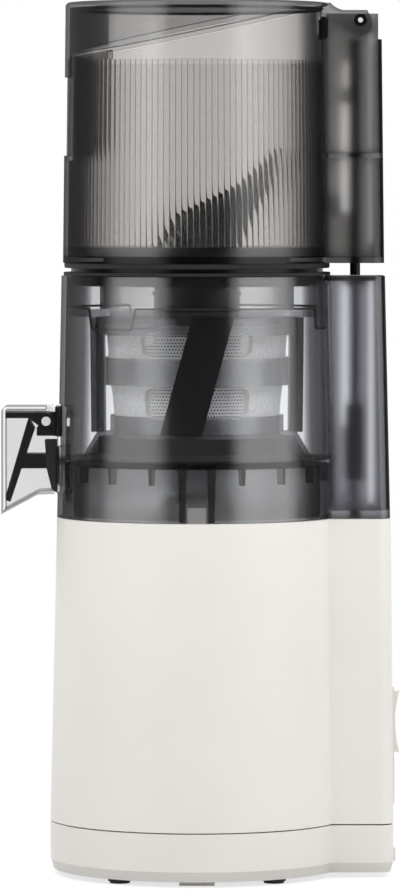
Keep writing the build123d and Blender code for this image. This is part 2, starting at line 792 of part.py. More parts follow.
# ================================================================ bowl
bowl_outer_round = cone(chamber_z, chamber_top, base_head_radius, chamber_head_radius)
bowl_outer_tail = tail(
    chamber_z, chamber_top, column_half, chamber_tail_foot_rear,
    column_half, chamber_tail_head_rear, tail_corner,
)
skirt_inner = chamber_radius(floor_under) - chamber_wall
column_floor_top = chamber_z + 3.5
column_cavity = tail(
    column_floor_top, chamber_top, column_half - chamber_wall, chamber_rear(column_floor_top) - chamber_wall,
    column_half - chamber_wall, chamber_rear(chamber_top) - chamber_wall, tail_corner - chamber_wall,
)
spout_face_x = spout_face_inset - base_head_radius
spout_pivot_x = spout_face_x - spout_pivot_reach
spout_pivot_z = floor_under + spout_pivot_lift
spout_roof_z = spout_pivot_z + spout_rise
spout_tip_z = spout_pivot_z - spout_drop
bracket_low_z = spout_pivot_z - bracket_drop
mouth_low_z = floor_under - mouth_drop
mouth_high_z = floor_under + mouth_rise
pulp_duct_z = floor_under - pulp_height
idler_x = brush_module * (auger_teeth + idler_teeth) / 2 * cos(radians(idler_angle))
idler_y = brush_module * (auger_teeth + idler_teeth) / 2 * sin(radians(idler_angle))
brush_gear_z = floor_top + brush_gear_lift
tube_top = floor_top + tube_height
hub_wall = chamber_radius(floor_top) - chamber_wall
sump_x = sump_reach - hub_wall
pulp_reach = base_foot_radius - pulp_inset

with BuildPart() as column_hollow:
    add(column_cavity)
    add(bowl_outer_round, mode=Mode.SUBTRACT)

with BuildPart() as chamber_bowl:
    add(bowl_outer_round)
    add(bowl_outer_tail)
    add(cone(floor_top, chamber_top, hub_wall, chamber_radius(chamber_top) - chamber_wall),
        mode=Mode.SUBTRACT)
    add(cone(chamber_z, floor_under, base_head_radius - chamber_wall, skirt_inner), mode=Mode.SUBTRACT)
    add(column_hollow.part, mode=Mode.SUBTRACT)
    # foot of the column, open under its floor apart from the rod's hole
    add(post(rod_x, 0, chamber_z, column_floor_top, plunger_hole_radius), mode=Mode.SUBTRACT)
    # tube round the drive shaft
    add(post(0, 0, boss_top + seal_height + 4, tube_top, tube_outer_radius))
    add(post(0, 0, boss_top + seal_height + 4, tube_top, tube_inner_radius), mode=Mode.SUBTRACT)
    # pin and shoulder for the idler gear
    add(post(idler_x, idler_y, floor_top, brush_gear_z - body_gap, idler_pin_radius + 2))
    add(post(idler_x, idler_y, floor_top, brush_gear_z + brush_gear_width + 0.6, idler_pin_radius))
    # short ribs under the floor, with a pair of long ones each side of the base's key
    rib_count = int(360 / rib_spacing)
    for i in range(rib_count):
        angle = radians(rib_spacing * i - 90)
        blocked_by_key = i == 0
        blocked_by_duct = abs(rib_spacing * i - 180) < rib_spacing
        if blocked_by_key or blocked_by_duct:
            continue
        rib_plane = Plane(
            (skirt_inner * cos(angle), skirt_inner * sin(angle), floor_under + 0.5),
            x_dir=(-sin(angle), cos(angle), 0), z_dir=(cos(angle), sin(angle), 0),
        )
        with BuildSketch(rib_plane.offset(-4.0)):
            Polygon(
                (-rib_width / 2, 0), (rib_width / 2, 0),
                (rib_width * 0.3, -short_rib_depth), (-rib_width * 0.3, -short_rib_depth),
                align=None,
            )
        extrude(amount=5.0)
    long_rib_depth = floor_under - chamber_z
    for side in (-1, 1):
        with BuildSketch(Plane.XZ.offset(key_y - 6)):
            Polygon(
                (side * key_rib_x - key_rib_width / 2, floor_under + 0.5),
                (side * key_rib_x + key_rib_width / 2, floor_under + 0.5),
                (side * key_rib_x + key_rib_tip_width / 2, chamber_z + body_gap),
                (side * key_rib_x - key_rib_tip_width / 2, chamber_z + body_gap),
                align=None,
            )
        extrude(amount=7.5)
    # juice outlet: a sump under the edge of the floor, and a mouth in a flat-faced front wall
    add(block(spout_face_x, 4 - hub_wall, -spout_face_half, spout_face_half, mouth_low_z - 3.5,
              spout_roof_z))
    add(block(spout_face_x, sump_x + sump_wall, -mouth_half - sump_wall, mouth_half + sump_wall,
              mouth_low_z - sump_wall, floor_under + 0.5))
    add(block(spout_face_x - 1, sump_x, -mouth_half, mouth_half, mouth_low_z, mouth_high_z),
        mode=Mode.SUBTRACT)
    add(block(spout_face_x - 1, spout_face_x + bracket_recess, -bracket_half - seat_fit,
              bracket_half + seat_fit, bracket_low_z - seat_fit, spout_roof_z + 1), mode=Mode.SUBTRACT)
    # pulp outlet: a duct under the floor, from a hole beside the auger's foot to the far side
    add(block(-pulp_half - 2, pulp_half + 2, tube_outer_radius + 9, pulp_reach, pulp_duct_z - 2,
              floor_under + 1))
    add(block(-pulp_half, pulp_half, tube_outer_radius + 11, pulp_reach + 1, pulp_duct_z, floor_under),
        mode=Mode.SUBTRACT)
    add(block(-pulp_half + 2, pulp_half - 2, *pulp_hole, floor_under - 1, floor_top + 1),
        mode=Mode.SUBTRACT)
finish(chamber_bowl, "chamber_bowl")

with BuildPart() as tube_seal:
    add(post(0, 0, tube_top, tube_top + 2, tube_outer_radius))
    add(post(0, 0, tube_top, tube_top + 2, tube_inner_radius), mode=Mode.SUBTRACT)
finish(tube_seal, "tube_seal")

pulp_plug_y = pulp_reach - pulp_plug_inset
with BuildPart() as pulp_packing:
    add(block(-pulp_half + seat_fit, pulp_half - seat_fit, pulp_plug_y, pulp_plug_y + 4,
              pulp_duct_z + seat_fit, pulp_duct_z + 4.5))
finish(pulp_packing, "pulp_packing")

# ---- cap over the bowl's column, with the rod's guide
guide_radius = 5.3
cap_thickness = 2.2
cap_rear = chamber_rear(chamber_top) - chamber_wall - 2 * seat_fit
with BuildPart() as rod_guide_cap:
    add(tail(chamber_top - cap_thickness, chamber_top, column_half - chamber_wall - seat_fit, cap_rear,
             column_half - chamber_wall - seat_fit, cap_rear, tail_corner - chamber_wall))
    add(cone(chamber_z, chamber_top + 1, base_head_radius + seat_fit, chamber_head_radius + seat_fit),
        mode=Mode.SUBTRACT)
    add(post(rod_x, 0, chamber_top - cap_thickness - 2.2, chamber_top - cap_thickness, guide_radius))
    add(post(rod_x, 0, chamber_top - cap_thickness - 3, chamber_top, rod_radius + body_gap),
        mode=Mode.SUBTRACT)
finish(rod_guide_cap, "rod_guide_cap")

# ---- lower rod with its sleeve and spring
rod_foot = plunger_top + body_gap
sleeve_z = column_floor_top + spring_room + 0.3
with BuildPart() as lower_rod:
    add(post(rod_x, 0, rod_foot, chamber_top, rod_radius))
finish(lower_rod, "lower_rod")

with BuildPart() as rod_sleeve:
    add(post(rod_x, 0, sleeve_z, sleeve_z + sleeve_height, sleeve_radius))
    add(post(rod_x, 0, sleeve_z, sleeve_z + sleeve_height, rod_radius), mode=Mode.SUBTRACT)
finish(rod_sleeve, "rod_sleeve")

spring_low = column_floor_top + 0.1
spring_high = sleeve_z - 0.1
spring_turns = 3
spring_lead = (spring_high - spring_low - spring_wire) / spring_turns
spring_radius = rod_radius + 1.4
with BuildPart() as rod_spring:
    with BuildLine():
        Helix(spring_lead, spring_lead * spring_turns, spring_radius,
              center=(rod_x, 0, spring_low + spring_wire / 2))
    with BuildSketch(Plane((rod_x + spring_radius, 0, spring_low + spring_wire / 2), z_dir=(0, 1, 0))):
        Rectangle(spring_wire, spring_wire)
    sweep(is_frenet=True)
finish(rod_spring, "rod_spring")

# ---- idler gear between the auger's foot and the wiper
with BuildPart() as idler_gear:
    add(spur(idler_teeth, brush_module, brush_backlash, brush_gear_z, brush_gear_width - 0.5,
             turn=idler_angle + 180 + 180 / idler_teeth, x=idler_x, y=idler_y, steps=2))
    add(post(idler_x, idler_y, brush_gear_z, brush_gear_z + brush_gear_width,
             idler_pin_radius + running_fit), mode=Mode.SUBTRACT)
finish(idler_gear, "idler_gear")

# ---- strainer
strainer_z = floor_top
strainer_top = strainer_z + strainer_height
idler_tip = brush_module * (idler_teeth / 2 + 0.9)
flange_radius = chamber_radius(strainer_top) - chamber_wall - strainer_flange_gap


def strainer_radius(z):
    """Outer radius of the strainer's cone at height z above the bowl's floor."""
    return between(strainer_foot_radius, strainer_head_radius, 0, strainer_height, z)


def window(z_low, z_high, inside, outside, turn):
    """A cutter for one strainer window: a sector of a ring, with straight sides."""
    with BuildPart() as form:
        with BuildSketch(Plane.XZ):
            Polygon(
                (strainer_radius(z_low) - inside, strainer_z + z_low),
                (strainer_radius(z_low) + outside, strainer_z + z_low),
                (strainer_radius(z_high) + outside, strainer_z + z_high),
                (strainer_radius(z_high) - inside, strainer_z + z_high),
                align=None,
            )
        revolve(axis=Axis.Z, revolution_arc=window_angle)
    return form.part.rotate(Axis.Z, turn)


window_rows = [(low * strainer_height, high * strainer_height) for low, high in (lower_window, upper_window)]
window_turns = [-90 - window_angle / 2 + 360 / window_count * i for i in range(window_count)]
with BuildPart() as strainer_frame:
    add(ring(strainer_z, strainer_top, strainer_foot_radius - strainer_wall, strainer_foot_radius,
             strainer_head_radius - strainer_wall, strainer_head_radius))
    add(ring(strainer_top - strainer_flange_thickness, strainer_top,
             strainer_radius(strainer_height - strainer_flange_thickness) - 1, flange_radius,
             strainer_head_radius - 1, flange_radius))
    for z_low, z_high in window_rows:
        for turn in window_turns:
            add(window(z_low, z_high, strainer_wall + 1, 1, turn), mode=Mode.SUBTRACT)
    # notch that lets the idler gear through
    with BuildSketch(Plane.XY.offset(strainer_z)):
        with Locations((idler_x, idler_y)):
            Circle(idler_tip + 1.2)
    extrude(amount=brush_gear_lift + brush_gear_width + 1.5, mode=Mode.SUBTRACT)
finish(strainer_frame, "strainer_frame")

mesh_low = window_rows[0][0] - 2
mesh_high = window_rows[1][1] + 2
with BuildPart() as strainer_mesh:
    add(ring(strainer_z + mesh_low, strainer_z + mesh_high,
             strainer_radius(mesh_low) - strainer_wall - seat_fit - mesh_thickness,
             strainer_radius(mesh_low) - strainer_wall - seat_fit,
             strainer_radius(mesh_high) - strainer_wall - seat_fit - mesh_thickness,
             strainer_radius(mesh_high) - strainer_wall - seat_fit))
finish(strainer_mesh, "strainer_mesh")

# ---- wiper: a cage of rings round the strainer, turned by the idler
wiper_z = floor_top + body_gap
wiper_head_radius = strainer_head_radius + wiper_head_gap
middle_share_low, middle_share_high = wiper_middle_ring
wiper_middle_ring_radius = (strainer_radius(middle_share_high * strainer_height) + wiper_middle_gap
                            + wiper_ring_wall)
wiper_lower_ring_radius = (strainer_radius(wiper_ledge_z + wiper_lower_ring_height) + body_gap
                           + wiper_ring_wall)
ledge_z = floor_top + wiper_ledge_z
wiper_top = strainer_top - strainer_flange_thickness - 0.6
ring_pitch = brush_module * ring_teeth / 2
cage_foot_radius = ring_pitch + brush_module * 1.25 + 1.6
wiper_post_wall = 4.0


def cage_radius(z):
    """Outer radius of the wiper's posts at height z."""
    return between(cage_foot_radius, wiper_head_radius, ledge_z, wiper_top, z)


with BuildPart() as wiper_posts:
    add(ring(ledge_z - 1, wiper_top, cage_radius(ledge_z) - wiper_post_wall, cage_radius(ledge_z),
             wiper_head_radius - wiper_post_wall, wiper_head_radius))
    add(block(-wiper_foot_radius, wiper_foot_radius, -wiper_post_width / 2, wiper_post_width / 2,
              ledge_z - 1, wiper_top), mode=Mode.INTERSECT)

with BuildPart() as wiper_frame:
    # flared skirt over the ring gear, with a ledge to the lower ring
    add(ring(wiper_z, ledge_z, wiper_foot_radius - 2, wiper_foot_radius, cage_foot_radius - 2.2,
             cage_foot_radius))
    add(ring(ledge_z - 2, ledge_z, wiper_lower_ring_radius - wiper_ring_wall, cage_foot_radius - 1,
             wiper_lower_ring_radius - wiper_ring_wall, cage_foot_radius - 1))
    add(ring(ledge_z - 1, ledge_z + wiper_lower_ring_height,
             wiper_lower_ring_radius - wiper_ring_wall, wiper_lower_ring_radius,
             wiper_lower_ring_radius - wiper_ring_wall, wiper_lower_ring_radius))
    # posts at both sides, from the ledge to the top ring, joined to the middle ring
    add(wiper_posts.part)
    add(ring(floor_top + middle_share_low * strainer_height,
             floor_top + middle_share_high * strainer_height,
             wiper_middle_ring_radius - wiper_ring_wall, wiper_middle_ring_radius,
             wiper_middle_ring_radius - wiper_ring_wall, wiper_middle_ring_radius))
    add(ring(wiper_top - wiper_top_ring_height, wiper_top, wiper_head_radius - 2.6,
             wiper_head_radius, wiper_head_radius - 2.6, wiper_head_radius))
finish(wiper_frame, "wiper_frame")

with BuildPart() as wiper_ring_gear:
    with BuildSketch(Plane.XY.offset(brush_gear_z)):
        Circle(ring_pitch + brush_module * 1.25 + 1.0)
    extrude(amount=ledge_z - 2 - brush_gear_z)
    with BuildSketch(Plane.XY.offset(brush_gear_z).rotated((0, 0, idler_angle + 180 / ring_teeth))):
        space = gear_outline(ring_teeth, brush_module, -brush_backlash, 1.25, 0.9, 1)
        Polygon(*space, align=None)
    extrude(amount=ledge_z - brush_gear_z, mode=Mode.SUBTRACT)
    add(ring(wiper_z, ledge_z, wiper_foot_radius - 2 - seat_fit, wiper_foot_radius + 5,
             cage_foot_radius - 2.2 - seat_fit, cage_foot_radius + 5), mode=Mode.SUBTRACT)
finish(wiper_ring_gear, "wiper_ring_gear")

# two black blades on slanted carriers, near side and far side
blade_low = ledge_z + 0.2
blade_high = wiper_top
with BuildPart() as blade_slant:
    for side in (-1, 1):
        for z, lean in ((blade_low, side), (blade_high, -side)):
            with BuildSketch(Plane.XY.offset(z)):
                with Locations((lean * blade_lean / 2, side * wiper_head_radius)):
                    Rectangle(blade_width, wiper_head_radius)
        loft()

with BuildPart() as wiper_blades:
    add(ring(blade_low, blade_high, strainer_radius(blade_low - floor_top) + body_gap,
             cage_radius(blade_low) + 0.6, strainer_radius(blade_high - floor_top) + body_gap,
             wiper_head_radius + 0.6))
    add(blade_slant.part, mode=Mode.INTERSECT)
    add(wiper_frame.part, mode=Mode.SUBTRACT)
finish(wiper_blades, "wiper_blades")

# ================================================================ auger
auger_z = brush_gear_z
auger_recess_top = tube_top + 2 + body_gap
bush_outer = shaft_radius + hex_clearance + 3.0
bush_low = auger_recess_top
bush_high = shaft_top + 3.0
hub_top = chamber_top - 0.5
flight_low = brush_gear_z + brush_gear_width + 2
flight_high = strainer_top - 3

with BuildPart() as flight_room:
    add(ring(flight_low, flight_high, 1.0,
             strainer_radius(flight_low - strainer_z) - strainer_wall - mesh_thickness - flight_clearance,
             1.0,
             strainer_radius(flight_high - strainer_z) - strainer_wall - mesh_thickness - flight_clearance))

flight_mid = (auger_hub_radius + strainer_head_radius) / 2
with BuildPart() as flights:
    for start in (0, 180):
        with BuildLine(Plane.XY.rotated((0, 0, start))) as flight_path:
            Helix(flight_pitch, flight_high - flight_low + 8, flight_mid, center=(0, 0, flight_low - 4))
        out = Vector(cos(radians(start)), sin(radians(start)), 0)
        flight_start = out * flight_mid + Vector(0, 0, flight_low - 4)
        with BuildSketch(Plane(flight_start, x_dir=out, z_dir=Vector(-out.Y, out.X, 0))):
            Rectangle(strainer_head_radius - auger_hub_radius + 10, flight_thickness)
        sweep(path=flight_path.line, is_frenet=True)
    add(flight_room.part, mode=Mode.INTERSECT)

wing_sections = (
    # share of the wing's height, middle x, half length, half thickness
    (0.0, -1.0, 19.5, 7.0),
    (0.36, 8.5, 17.5, 5.5),
    (0.66, 27.0, 7.0, 4.0),
    (1.0, wing_reach - 1.2, 1.2, 1.0),
)
with BuildPart() as auger:
    add(cone(auger_z + brush_gear_width, hub_top, auger_foot_radius, auger_hub_radius))
    add(flights.part)
    # ribs round the hub
    for z in (hub_top - 4.0, hub_top - 8.5):
        add(post(0, 0, z, z + 1.6, auger_hub_radius + 1.2))
    # head that carries the cutting wing into the hopper
    wing_z = hopper_z + wing_foot
    add(cone(hub_top, wing_z, auger_hub_radius - 0.5, auger_hub_radius - 1.0))
    add(cone(wing_z, hub_top + dome_height, auger_hub_radius - 1.0, 7.0))
    # wing: a curved horn through four lens-shaped sections
    for share, x, half_long, half_thick in wing_sections:
        with BuildSketch(Plane.XY.offset(wing_z + share * wing_height)):
            Polygon(
                (x - half_long, 0), (x - half_long * 0.4, -half_thick), (x + half_long * 0.4, -half_thick),
                (x + half_long, 0), (x + half_long * 0.4, half_thick), (x - half_long * 0.4, half_thick),
                align=None,
            )
    loft(ruled=True)
    # recess over the bowl's tube, and the seat of the drive bush
    add(post(0, 0, auger_z, auger_recess_top, tube_outer_radius + 1.5), mode=Mode.SUBTRACT)
    add(post(0, 0, auger_recess_top, bush_high + 1, bush_outer + seat_fit), mode=Mode.SUBTRACT)
finish(auger, "auger")

with BuildPart() as auger_foot_gear:
    add(spur(auger_teeth, brush_module, brush_backlash, auger_z, brush_gear_width, turn=idler_angle))
    add(post(0, 0, auger_z, auger_z + brush_gear_width, tube_outer_radius + 1.5), mode=Mode.SUBTRACT)
finish(auger_foot_gear, "auger_foot_gear")

with BuildPart() as auger_drive_bush:
    add(post(0, 0, bush_low, bush_high, bush_outer))
    with BuildSketch(Plane.XY.offset(bush_low)):
        RegularPolygon(shaft_radius + hex_clearance, 6)
    extrude(amount=shaft_top + 1.0 - bush_low, mode=Mode.SUBTRACT)
finish(auger_drive_bush, "auger_drive_bush")

# ================================================================ spout
pivot = (spout_pivot_x, spout_pivot_z)
front_x = spout_pivot_x - spout_reach
hood_inner_x = front_x + spout_wall
hood_inner_roof = spout_roof_z - spout_wall
plug_face_x = spout_face_x - body_gap
plug_top_z = mouth_high_z + plug_overlap
plug_foot_z = mouth_low_z - plug_overlap
cross_bar_low = floor_under - cross_bar_drop
cross_bar_high = floor_under + cross_bar_rise
cross_bar_end = spout_pivot_x + 0.7


def spout_point(x, z):
    """A point given from the spout's pivot, as (x, z) of the whole juicer."""
    return (spout_pivot_x + x, spout_pivot_z + z)


with BuildPart() as spout_bracket:
    # plate let into the bowl's face, above the mouth
    add(block(spout_face_x - bracket_proud, spout_face_x + bracket_recess - seat_fit, -bracket_half,
              bracket_half, bracket_low_z, spout_roof_z - 0.2))
    # lug round the pivot, on a bar
    with BuildSketch(Plane.XZ.offset(-lug_half)):
        with BuildLine():
            Polyline(
                (spout_face_x, spout_pivot_z + spout_hub_radius),
                spout_point(0, spout_hub_radius),
            )
            ThreePointArc(
                spout_point(0, spout_hub_radius),
                spout_point(-spout_hub_radius, 0),
                spout_point(-spout_hub_radius * sin(radians(64)), -spout_hub_radius * cos(radians(64))),
            )
            Polyline(
                spout_point(-spout_hub_radius * sin(radians(64)), -spout_hub_radius * cos(radians(64))),
                spout_point(-4.6, -3.4),
                (spout_pivot_x - 4.6, bracket_low_z),
                (spout_face_x, bracket_low_z),
                (spout_face_x, spout_pivot_z + spout_hub_radius),
            )
        make_face()
    extrude(amount=2 * lug_half)
    add(cross_pin(*pivot, -spout_half, spout_half, spout_screw_radius + running_fit), mode=Mode.SUBTRACT)
finish(spout_bracket, "spout_bracket")

with BuildPart() as spout_hood:
    # side outline of the clear hood; above the pivot it keeps off the bowl as it swings
    with BuildSketch(Plane.XZ.offset(-spout_half)):
        with BuildLine():
            Polyline(
                spout_point(2.5, spout_roof_z - spout_pivot_z),
                spout_point(4.2, 2.5),
                (spout_face_x - 0.7, plug_foot_z - 0.6),
                spout_point(-2.8, plug_foot_z - spout_pivot_z),
                (front_x + 0.9, spout_tip_z + 1.4),
                (front_x, spout_tip_z),
                (front_x, spout_roof_z - spout_corner),
            )
            RadiusArc((front_x, spout_roof_z - spout_corner), (front_x + spout_corner, spout_roof_z),
                      spout_corner)
            Line((front_x + spout_corner, spout_roof_z), spout_point(2.5, spout_roof_z - spout_pivot_z))
        make_face()
    extrude(amount=2 * spout_half)
    # hollow from below and behind, and notched round the bowl's flat face
    add(block(hood_inner_x, 0, spout_wall - spout_half, spout_half - spout_wall, 0, hood_inner_roof),
        mode=Mode.SUBTRACT)
    add(block(spout_pivot_x - 0.3, 0, -spout_face_half - body_gap, spout_face_half + body_gap,
              hood_inner_roof - 1, spout_roof_z + 1), mode=Mode.SUBTRACT)
    add(cross_pin(*pivot, -spout_half, spout_half, spout_screw_radius + running_fit), mode=Mode.SUBTRACT)
finish(spout_hood, "spout_hood")

lever_half = spout_half - spout_wall - seat_fit
with BuildPart() as spout_lever:
    # hub and front tab over the hood's whole inner width
    with BuildSketch(Plane.XZ.offset(-lever_half)):
        with Locations(pivot):
            Circle(spout_hub_radius)
        Polygon(
            (hood_inner_x + seat_fit, spout_pivot_z + 1.3),
            (hood_inner_x + seat_fit, spout_pivot_z + 3.9),
            spout_point(0, spout_hub_radius),
            spout_point(-2.6, -2.8),
            spout_point(-8.2, 1.3),
            align=None,
        )
    extrude(amount=2 * lever_half)
    # narrower sloped arm, and the cross bar that carries the plug
    with BuildSketch(Plane.XZ.offset(-arm_half)):
        Polygon(
            spout_point(-8.3, 1.5),
            spout_point(-5.4, -3.6),
            (front_x + 3.9, spout_tip_z + 5.7),
            (hood_inner_x + seat_fit, spout_tip_z + 6.5),
            (hood_inner_x + seat_fit, spout_tip_z + 9.0),
            align=None,
        )
        Polygon(
            (spout_pivot_x - 13.2, cross_bar_low),
            (spout_pivot_x - 9.6, cross_bar_high),
            (cross_bar_end, cross_bar_high),
            (cross_bar_end, cross_bar_low),
            align=None,
        )
    extrude(amount=2 * arm_half)
    # room for the bracket's lug and bar
    add(block(spout_pivot_x - 5.2, spout_pivot_x + 6, -lug_half - body_gap, lug_half + body_gap,
              spout_pivot_z - 8.8, spout_pivot_z + 5), mode=Mode.SUBTRACT)
    add(cross_pin(*pivot, -spout_half, spout_half, spout_screw_radius + running_fit), mode=Mode.SUBTRACT)
finish(spout_lever, "spout_lever")

plug_half = mouth_half + 2.0
with BuildPart() as spout_plug:
    # soft pad over the mouth, with a low swell that enters it
    with BuildSketch(Plane.XZ.offset(-plug_half)):
        Polygon(
            (spout_pivot_x - 0.8, plug_top_z),
            (plug_face_x, plug_top_z),
            (plug_face_x, plug_foot_z),
            (spout_pivot_x + 2.4, plug_foot_z + 1.5),
            (spout_pivot_x + 0.2, floor_under - plug_waist_drop),
            align=None,
        )
    extrude(amount=2 * plug_half)
    add(block(plug_face_x - 0.5, plug_face_x + 1.1, 0.4 - mouth_half, mouth_half - 0.4, mouth_low_z + 0.7,
              mouth_high_z - 0.5))
    # seat of the cross bar
    add(block(spout_pivot_x - 3, cross_bar_end + seat_fit, -arm_half - seat_fit, arm_half + seat_fit,
              cross_bar_low - seat_fit, cross_bar_high + seat_fit), mode=Mode.SUBTRACT)
finish(spout_plug, "spout_plug")

with BuildPart() as spout_screw:
    add(cross_pin(*pivot, -spout_half - 1.2, spout_half + 1.2, spout_screw_radius))
    add(cross_pin(*pivot, -spout_half - 1.2, -spout_half - seat_fit, spout_screw_radius + 0.6))
    add(cross_pin(*pivot, spout_half + seat_fit, spout_half + 1.2, spout_screw_radius + 0.6))
finish(spout_screw, "spout_screw")

# ================================================================ hopper
def parting_z(x):
    """Height of the slanted joint between the hopper and the lid at x."""
    return lid_top - parting_drop + (x - parting_x) * tan(radians(parting_slope))


def above_parting(offset):
    """A big solid that holds all that lies above the slanted joint, moved up by offset."""
    with BuildPart() as form:
        with BuildSketch(Plane.XZ.offset(-far)):
            Polygon(
                (-far, parting_z(-far) + offset),
                (far, parting_z(far) + offset),
                (far, 2 * lid_top),
                (-far, 2 * lid_top),
                align=None,
            )
        extrude(amount=2 * far)
    return form.part


hopper_floor_top = hopper_z + hopper_floor
cheek_top = hinge_z + 2.9
column_inner_half = column_half - hopper_wall
knuckle_half = column_inner_half - body_gap
rim_z = lid_top - lid_rim
with BuildPart() as hopper_outer:
    add(cone(hopper_z, rim_z, hopper_foot_radius, hopper_radius(rim_z)))
    add(cone(rim_z, lid_top, hopper_radius(rim_z), hopper_head_radius - lid_rim))
hopper_outer_round = hopper_outer.part
pocket_floor_z = lid_top - pocket_depth
rod_top = hinge_z - cam_radius - cam_gap
rod_collar_z = hopper_floor_top + body_gap

with BuildPart() as hopper_column_hollow:
    add(tail(hopper_floor_top, lid_top, column_inner_half, hopper_rear(hopper_floor_top) - hopper_wall,
             column_inner_half, hopper_rear(lid_top) - hopper_wall, tail_corner - hopper_wall))
    add(hopper_outer_round, mode=Mode.SUBTRACT)

with BuildPart() as hopper_tail_form:
    add(tail(hopper_z, lid_top, column_half, hopper_tail_foot_rear, column_half, hopper_tail_head_rear,
             tail_corner))
    add(block(0, far, -far, far, cheek_top, lid_top + 1), mode=Mode.SUBTRACT)
    # the rear face steps in beside the hinge
    add(block(hopper_rear(lid_top) - 1.6, far, -far, far, hinge_z - rear_step_depth, lid_top + 1),
        mode=Mode.SUBTRACT)

pocket_front_x = -hopper_foot_radius - 5
with BuildPart() as pocket_room:
    add(block(pocket_front_x, pocket_back_x, -pocket_half, pocket_half, pocket_floor_z, lid_top + 5))
    fillet(pocket_room.edges().filter_by(Axis.Y).group_by(Axis.Z)[0].sort_by(Axis.X)[-1], pocket_corner)

with BuildPart() as pocket_shell:
    add(block(pocket_front_x, pocket_back_x + hopper_wall, -pocket_half - hopper_wall,
              pocket_half + hopper_wall, pocket_floor_z - hopper_wall, lid_top + 5))
    fillet(pocket_shell.edges().filter_by(Axis.Y).group_by(Axis.Z)[0].sort_by(Axis.X)[-1],
           pocket_corner + hopper_wall)
    add(hopper_outer_round, mode=Mode.INTERSECT)

arm_room_z = hinge_z - 6.0
guide_z = hopper_z + 48.0
collar_low = strainer_top + 0.8
with BuildPart() as hopper_body:
    add(hopper_outer_round)
    add(hopper_tail_form.part)
    add(cone(hopper_floor_top, lid_top, hopper_radius(hopper_floor_top) - hopper_wall,
             hopper_head_radius - hopper_wall), mode=Mode.SUBTRACT)
    add(hopper_column_hollow.part, mode=Mode.SUBTRACT)
    # pocket for the fingers that lift the lid's lip
    add(pocket_shell.part)
    add(pocket_room.part, mode=Mode.SUBTRACT)
    add(above_parting(0), mode=Mode.SUBTRACT)
    # mouth over the auger, with a collar that reaches down to the strainer
    add(post(0, 0, hopper_z - 1, hopper_floor_top + 1, hopper_mouth_radius), mode=Mode.SUBTRACT)
    add(ring(collar_low, hopper_z + 1, hopper_mouth_radius, hopper_mouth_radius + 1.6,
             hopper_mouth_radius, hopper_mouth_radius + 1.6))
    # room for the lid's arm between the cheeks, and an open back beside the hinge
    add(block(40, hinge_x, -column_inner_half, column_inner_half, arm_room_z, lid_top), mode=Mode.SUBTRACT)
    add(block(hinge_x - 1, hopper_rear(hopper_z) + 2, -column_inner_half, column_inner_half,
              hinge_z - rear_step_depth, lid_top), mode=Mode.SUBTRACT)
    # guide plate for the upper rod, and the holes for rod and hinge screws
    add(block(hopper_radius(guide_z) - 1, hopper_rear(guide_z) - 1, -column_inner_half - 0.5,
              column_inner_half + 0.5, guide_z, guide_z + 2))
    add(post(rod_x, 0, guide_z - 1, guide_z + 3, upper_rod_radius + body_gap), mode=Mode.SUBTRACT)
    add(post(rod_x, 0, hopper_z - 1, hopper_floor_top + 1, rod_radius + body_gap), mode=Mode.SUBTRACT)
    add(cross_pin(hinge_x, hinge_z, -column_half - 1, column_half + 1, hinge_screw_radius + seat_fit),
        mode=Mode.SUBTRACT)
    for side in (-1, 1):
        add(cross_pin(hinge_x, hinge_z, side * (column_half - 0.4) - 0.6, side * (column_half - 0.4) + 0.6,
                      hinge_screw_head_radius), mode=Mode.SUBTRACT)
finish(hopper_body, "hopper_body")

with BuildPart() as neck_ring:
    add(ring(chamber_top - neck_depth, hopper_z, neck_radius - 3.2, neck_radius, neck_radius - 3.2,
             neck_radius))
finish(neck_ring, "neck_ring")

with BuildPart() as neck_gasket:
    add(ring(chamber_top + body_gap, chamber_top + body_gap + 1.4, neck_radius + seat_fit,
             chamber_head_radius - 1.0, neck_radius + seat_fit, chamber_head_radius - 1.0))
finish(neck_gasket, "neck_gasket")

with BuildPart() as position_magnet:
    magnet_x = hopper_radius(hopper_z + 21) + seat_fit
    add(block(magnet_x, magnet_x + 4.6, -4, 4, hopper_z + 21, hopper_z + 31))
finish(position_magnet, "position_magnet")

with BuildPart() as lid_hinge_screws:
    for side in (-1, 1):
        inner = side * (column_inner_half - 9)
        outer = side * (column_half - 1.0)
        add(cross_pin(hinge_x, hinge_z, min(inner, outer), max(inner, outer), hinge_screw_radius))
        head = side * (column_half - 0.4)
        add(cross_pin(hinge_x, hinge_z, head - 0.6, head + 0.6, hinge_screw_head_radius - 0.6))
finish(lid_hinge_screws, "lid_hinge_screws")

with BuildPart() as upper_rod:
    add(post(rod_x, 0, chamber_top + body_gap, rod_collar_z + 1, rod_radius))
    add(post(rod_x, 0, rod_collar_z, rod_top, upper_rod_radius))
finish(upper_rod, "upper_rod")

# ---- lid
lid_roof_under = lid_top - lid_roof
lip_z = lid_top - lip_depth

with BuildPart() as lid_lip:
    add(ring(lip_z, lid_roof_under, hopper_radius(lip_z) - lid_wall, hopper_radius(lip_z),
             hopper_radius(lid_roof_under) - lid_wall, hopper_radius(lid_roof_under)))
    add(block(pocket_front_x, pocket_back_x + 1, body_gap * 2 - pocket_half, pocket_half - body_gap * 2,
              lip_z, lid_top), mode=Mode.INTERSECT)

with BuildPart() as below_parting:
    add(block(-far, far, -far, far, hopper_z, lid_top + lip_depth))
    add(above_parting(lid_gap), mode=Mode.SUBTRACT)

with BuildPart() as hopper_lid:
    add(hopper_outer_round)
    add(cone(hopper_z, lid_roof_under, hopper_foot_radius - lid_wall,
             hopper_radius(lid_roof_under) - lid_wall), mode=Mode.SUBTRACT)
    add(below_parting.part, mode=Mode.SUBTRACT)
    add(lid_lip.part)
finish(hopper_lid, "hopper_lid")


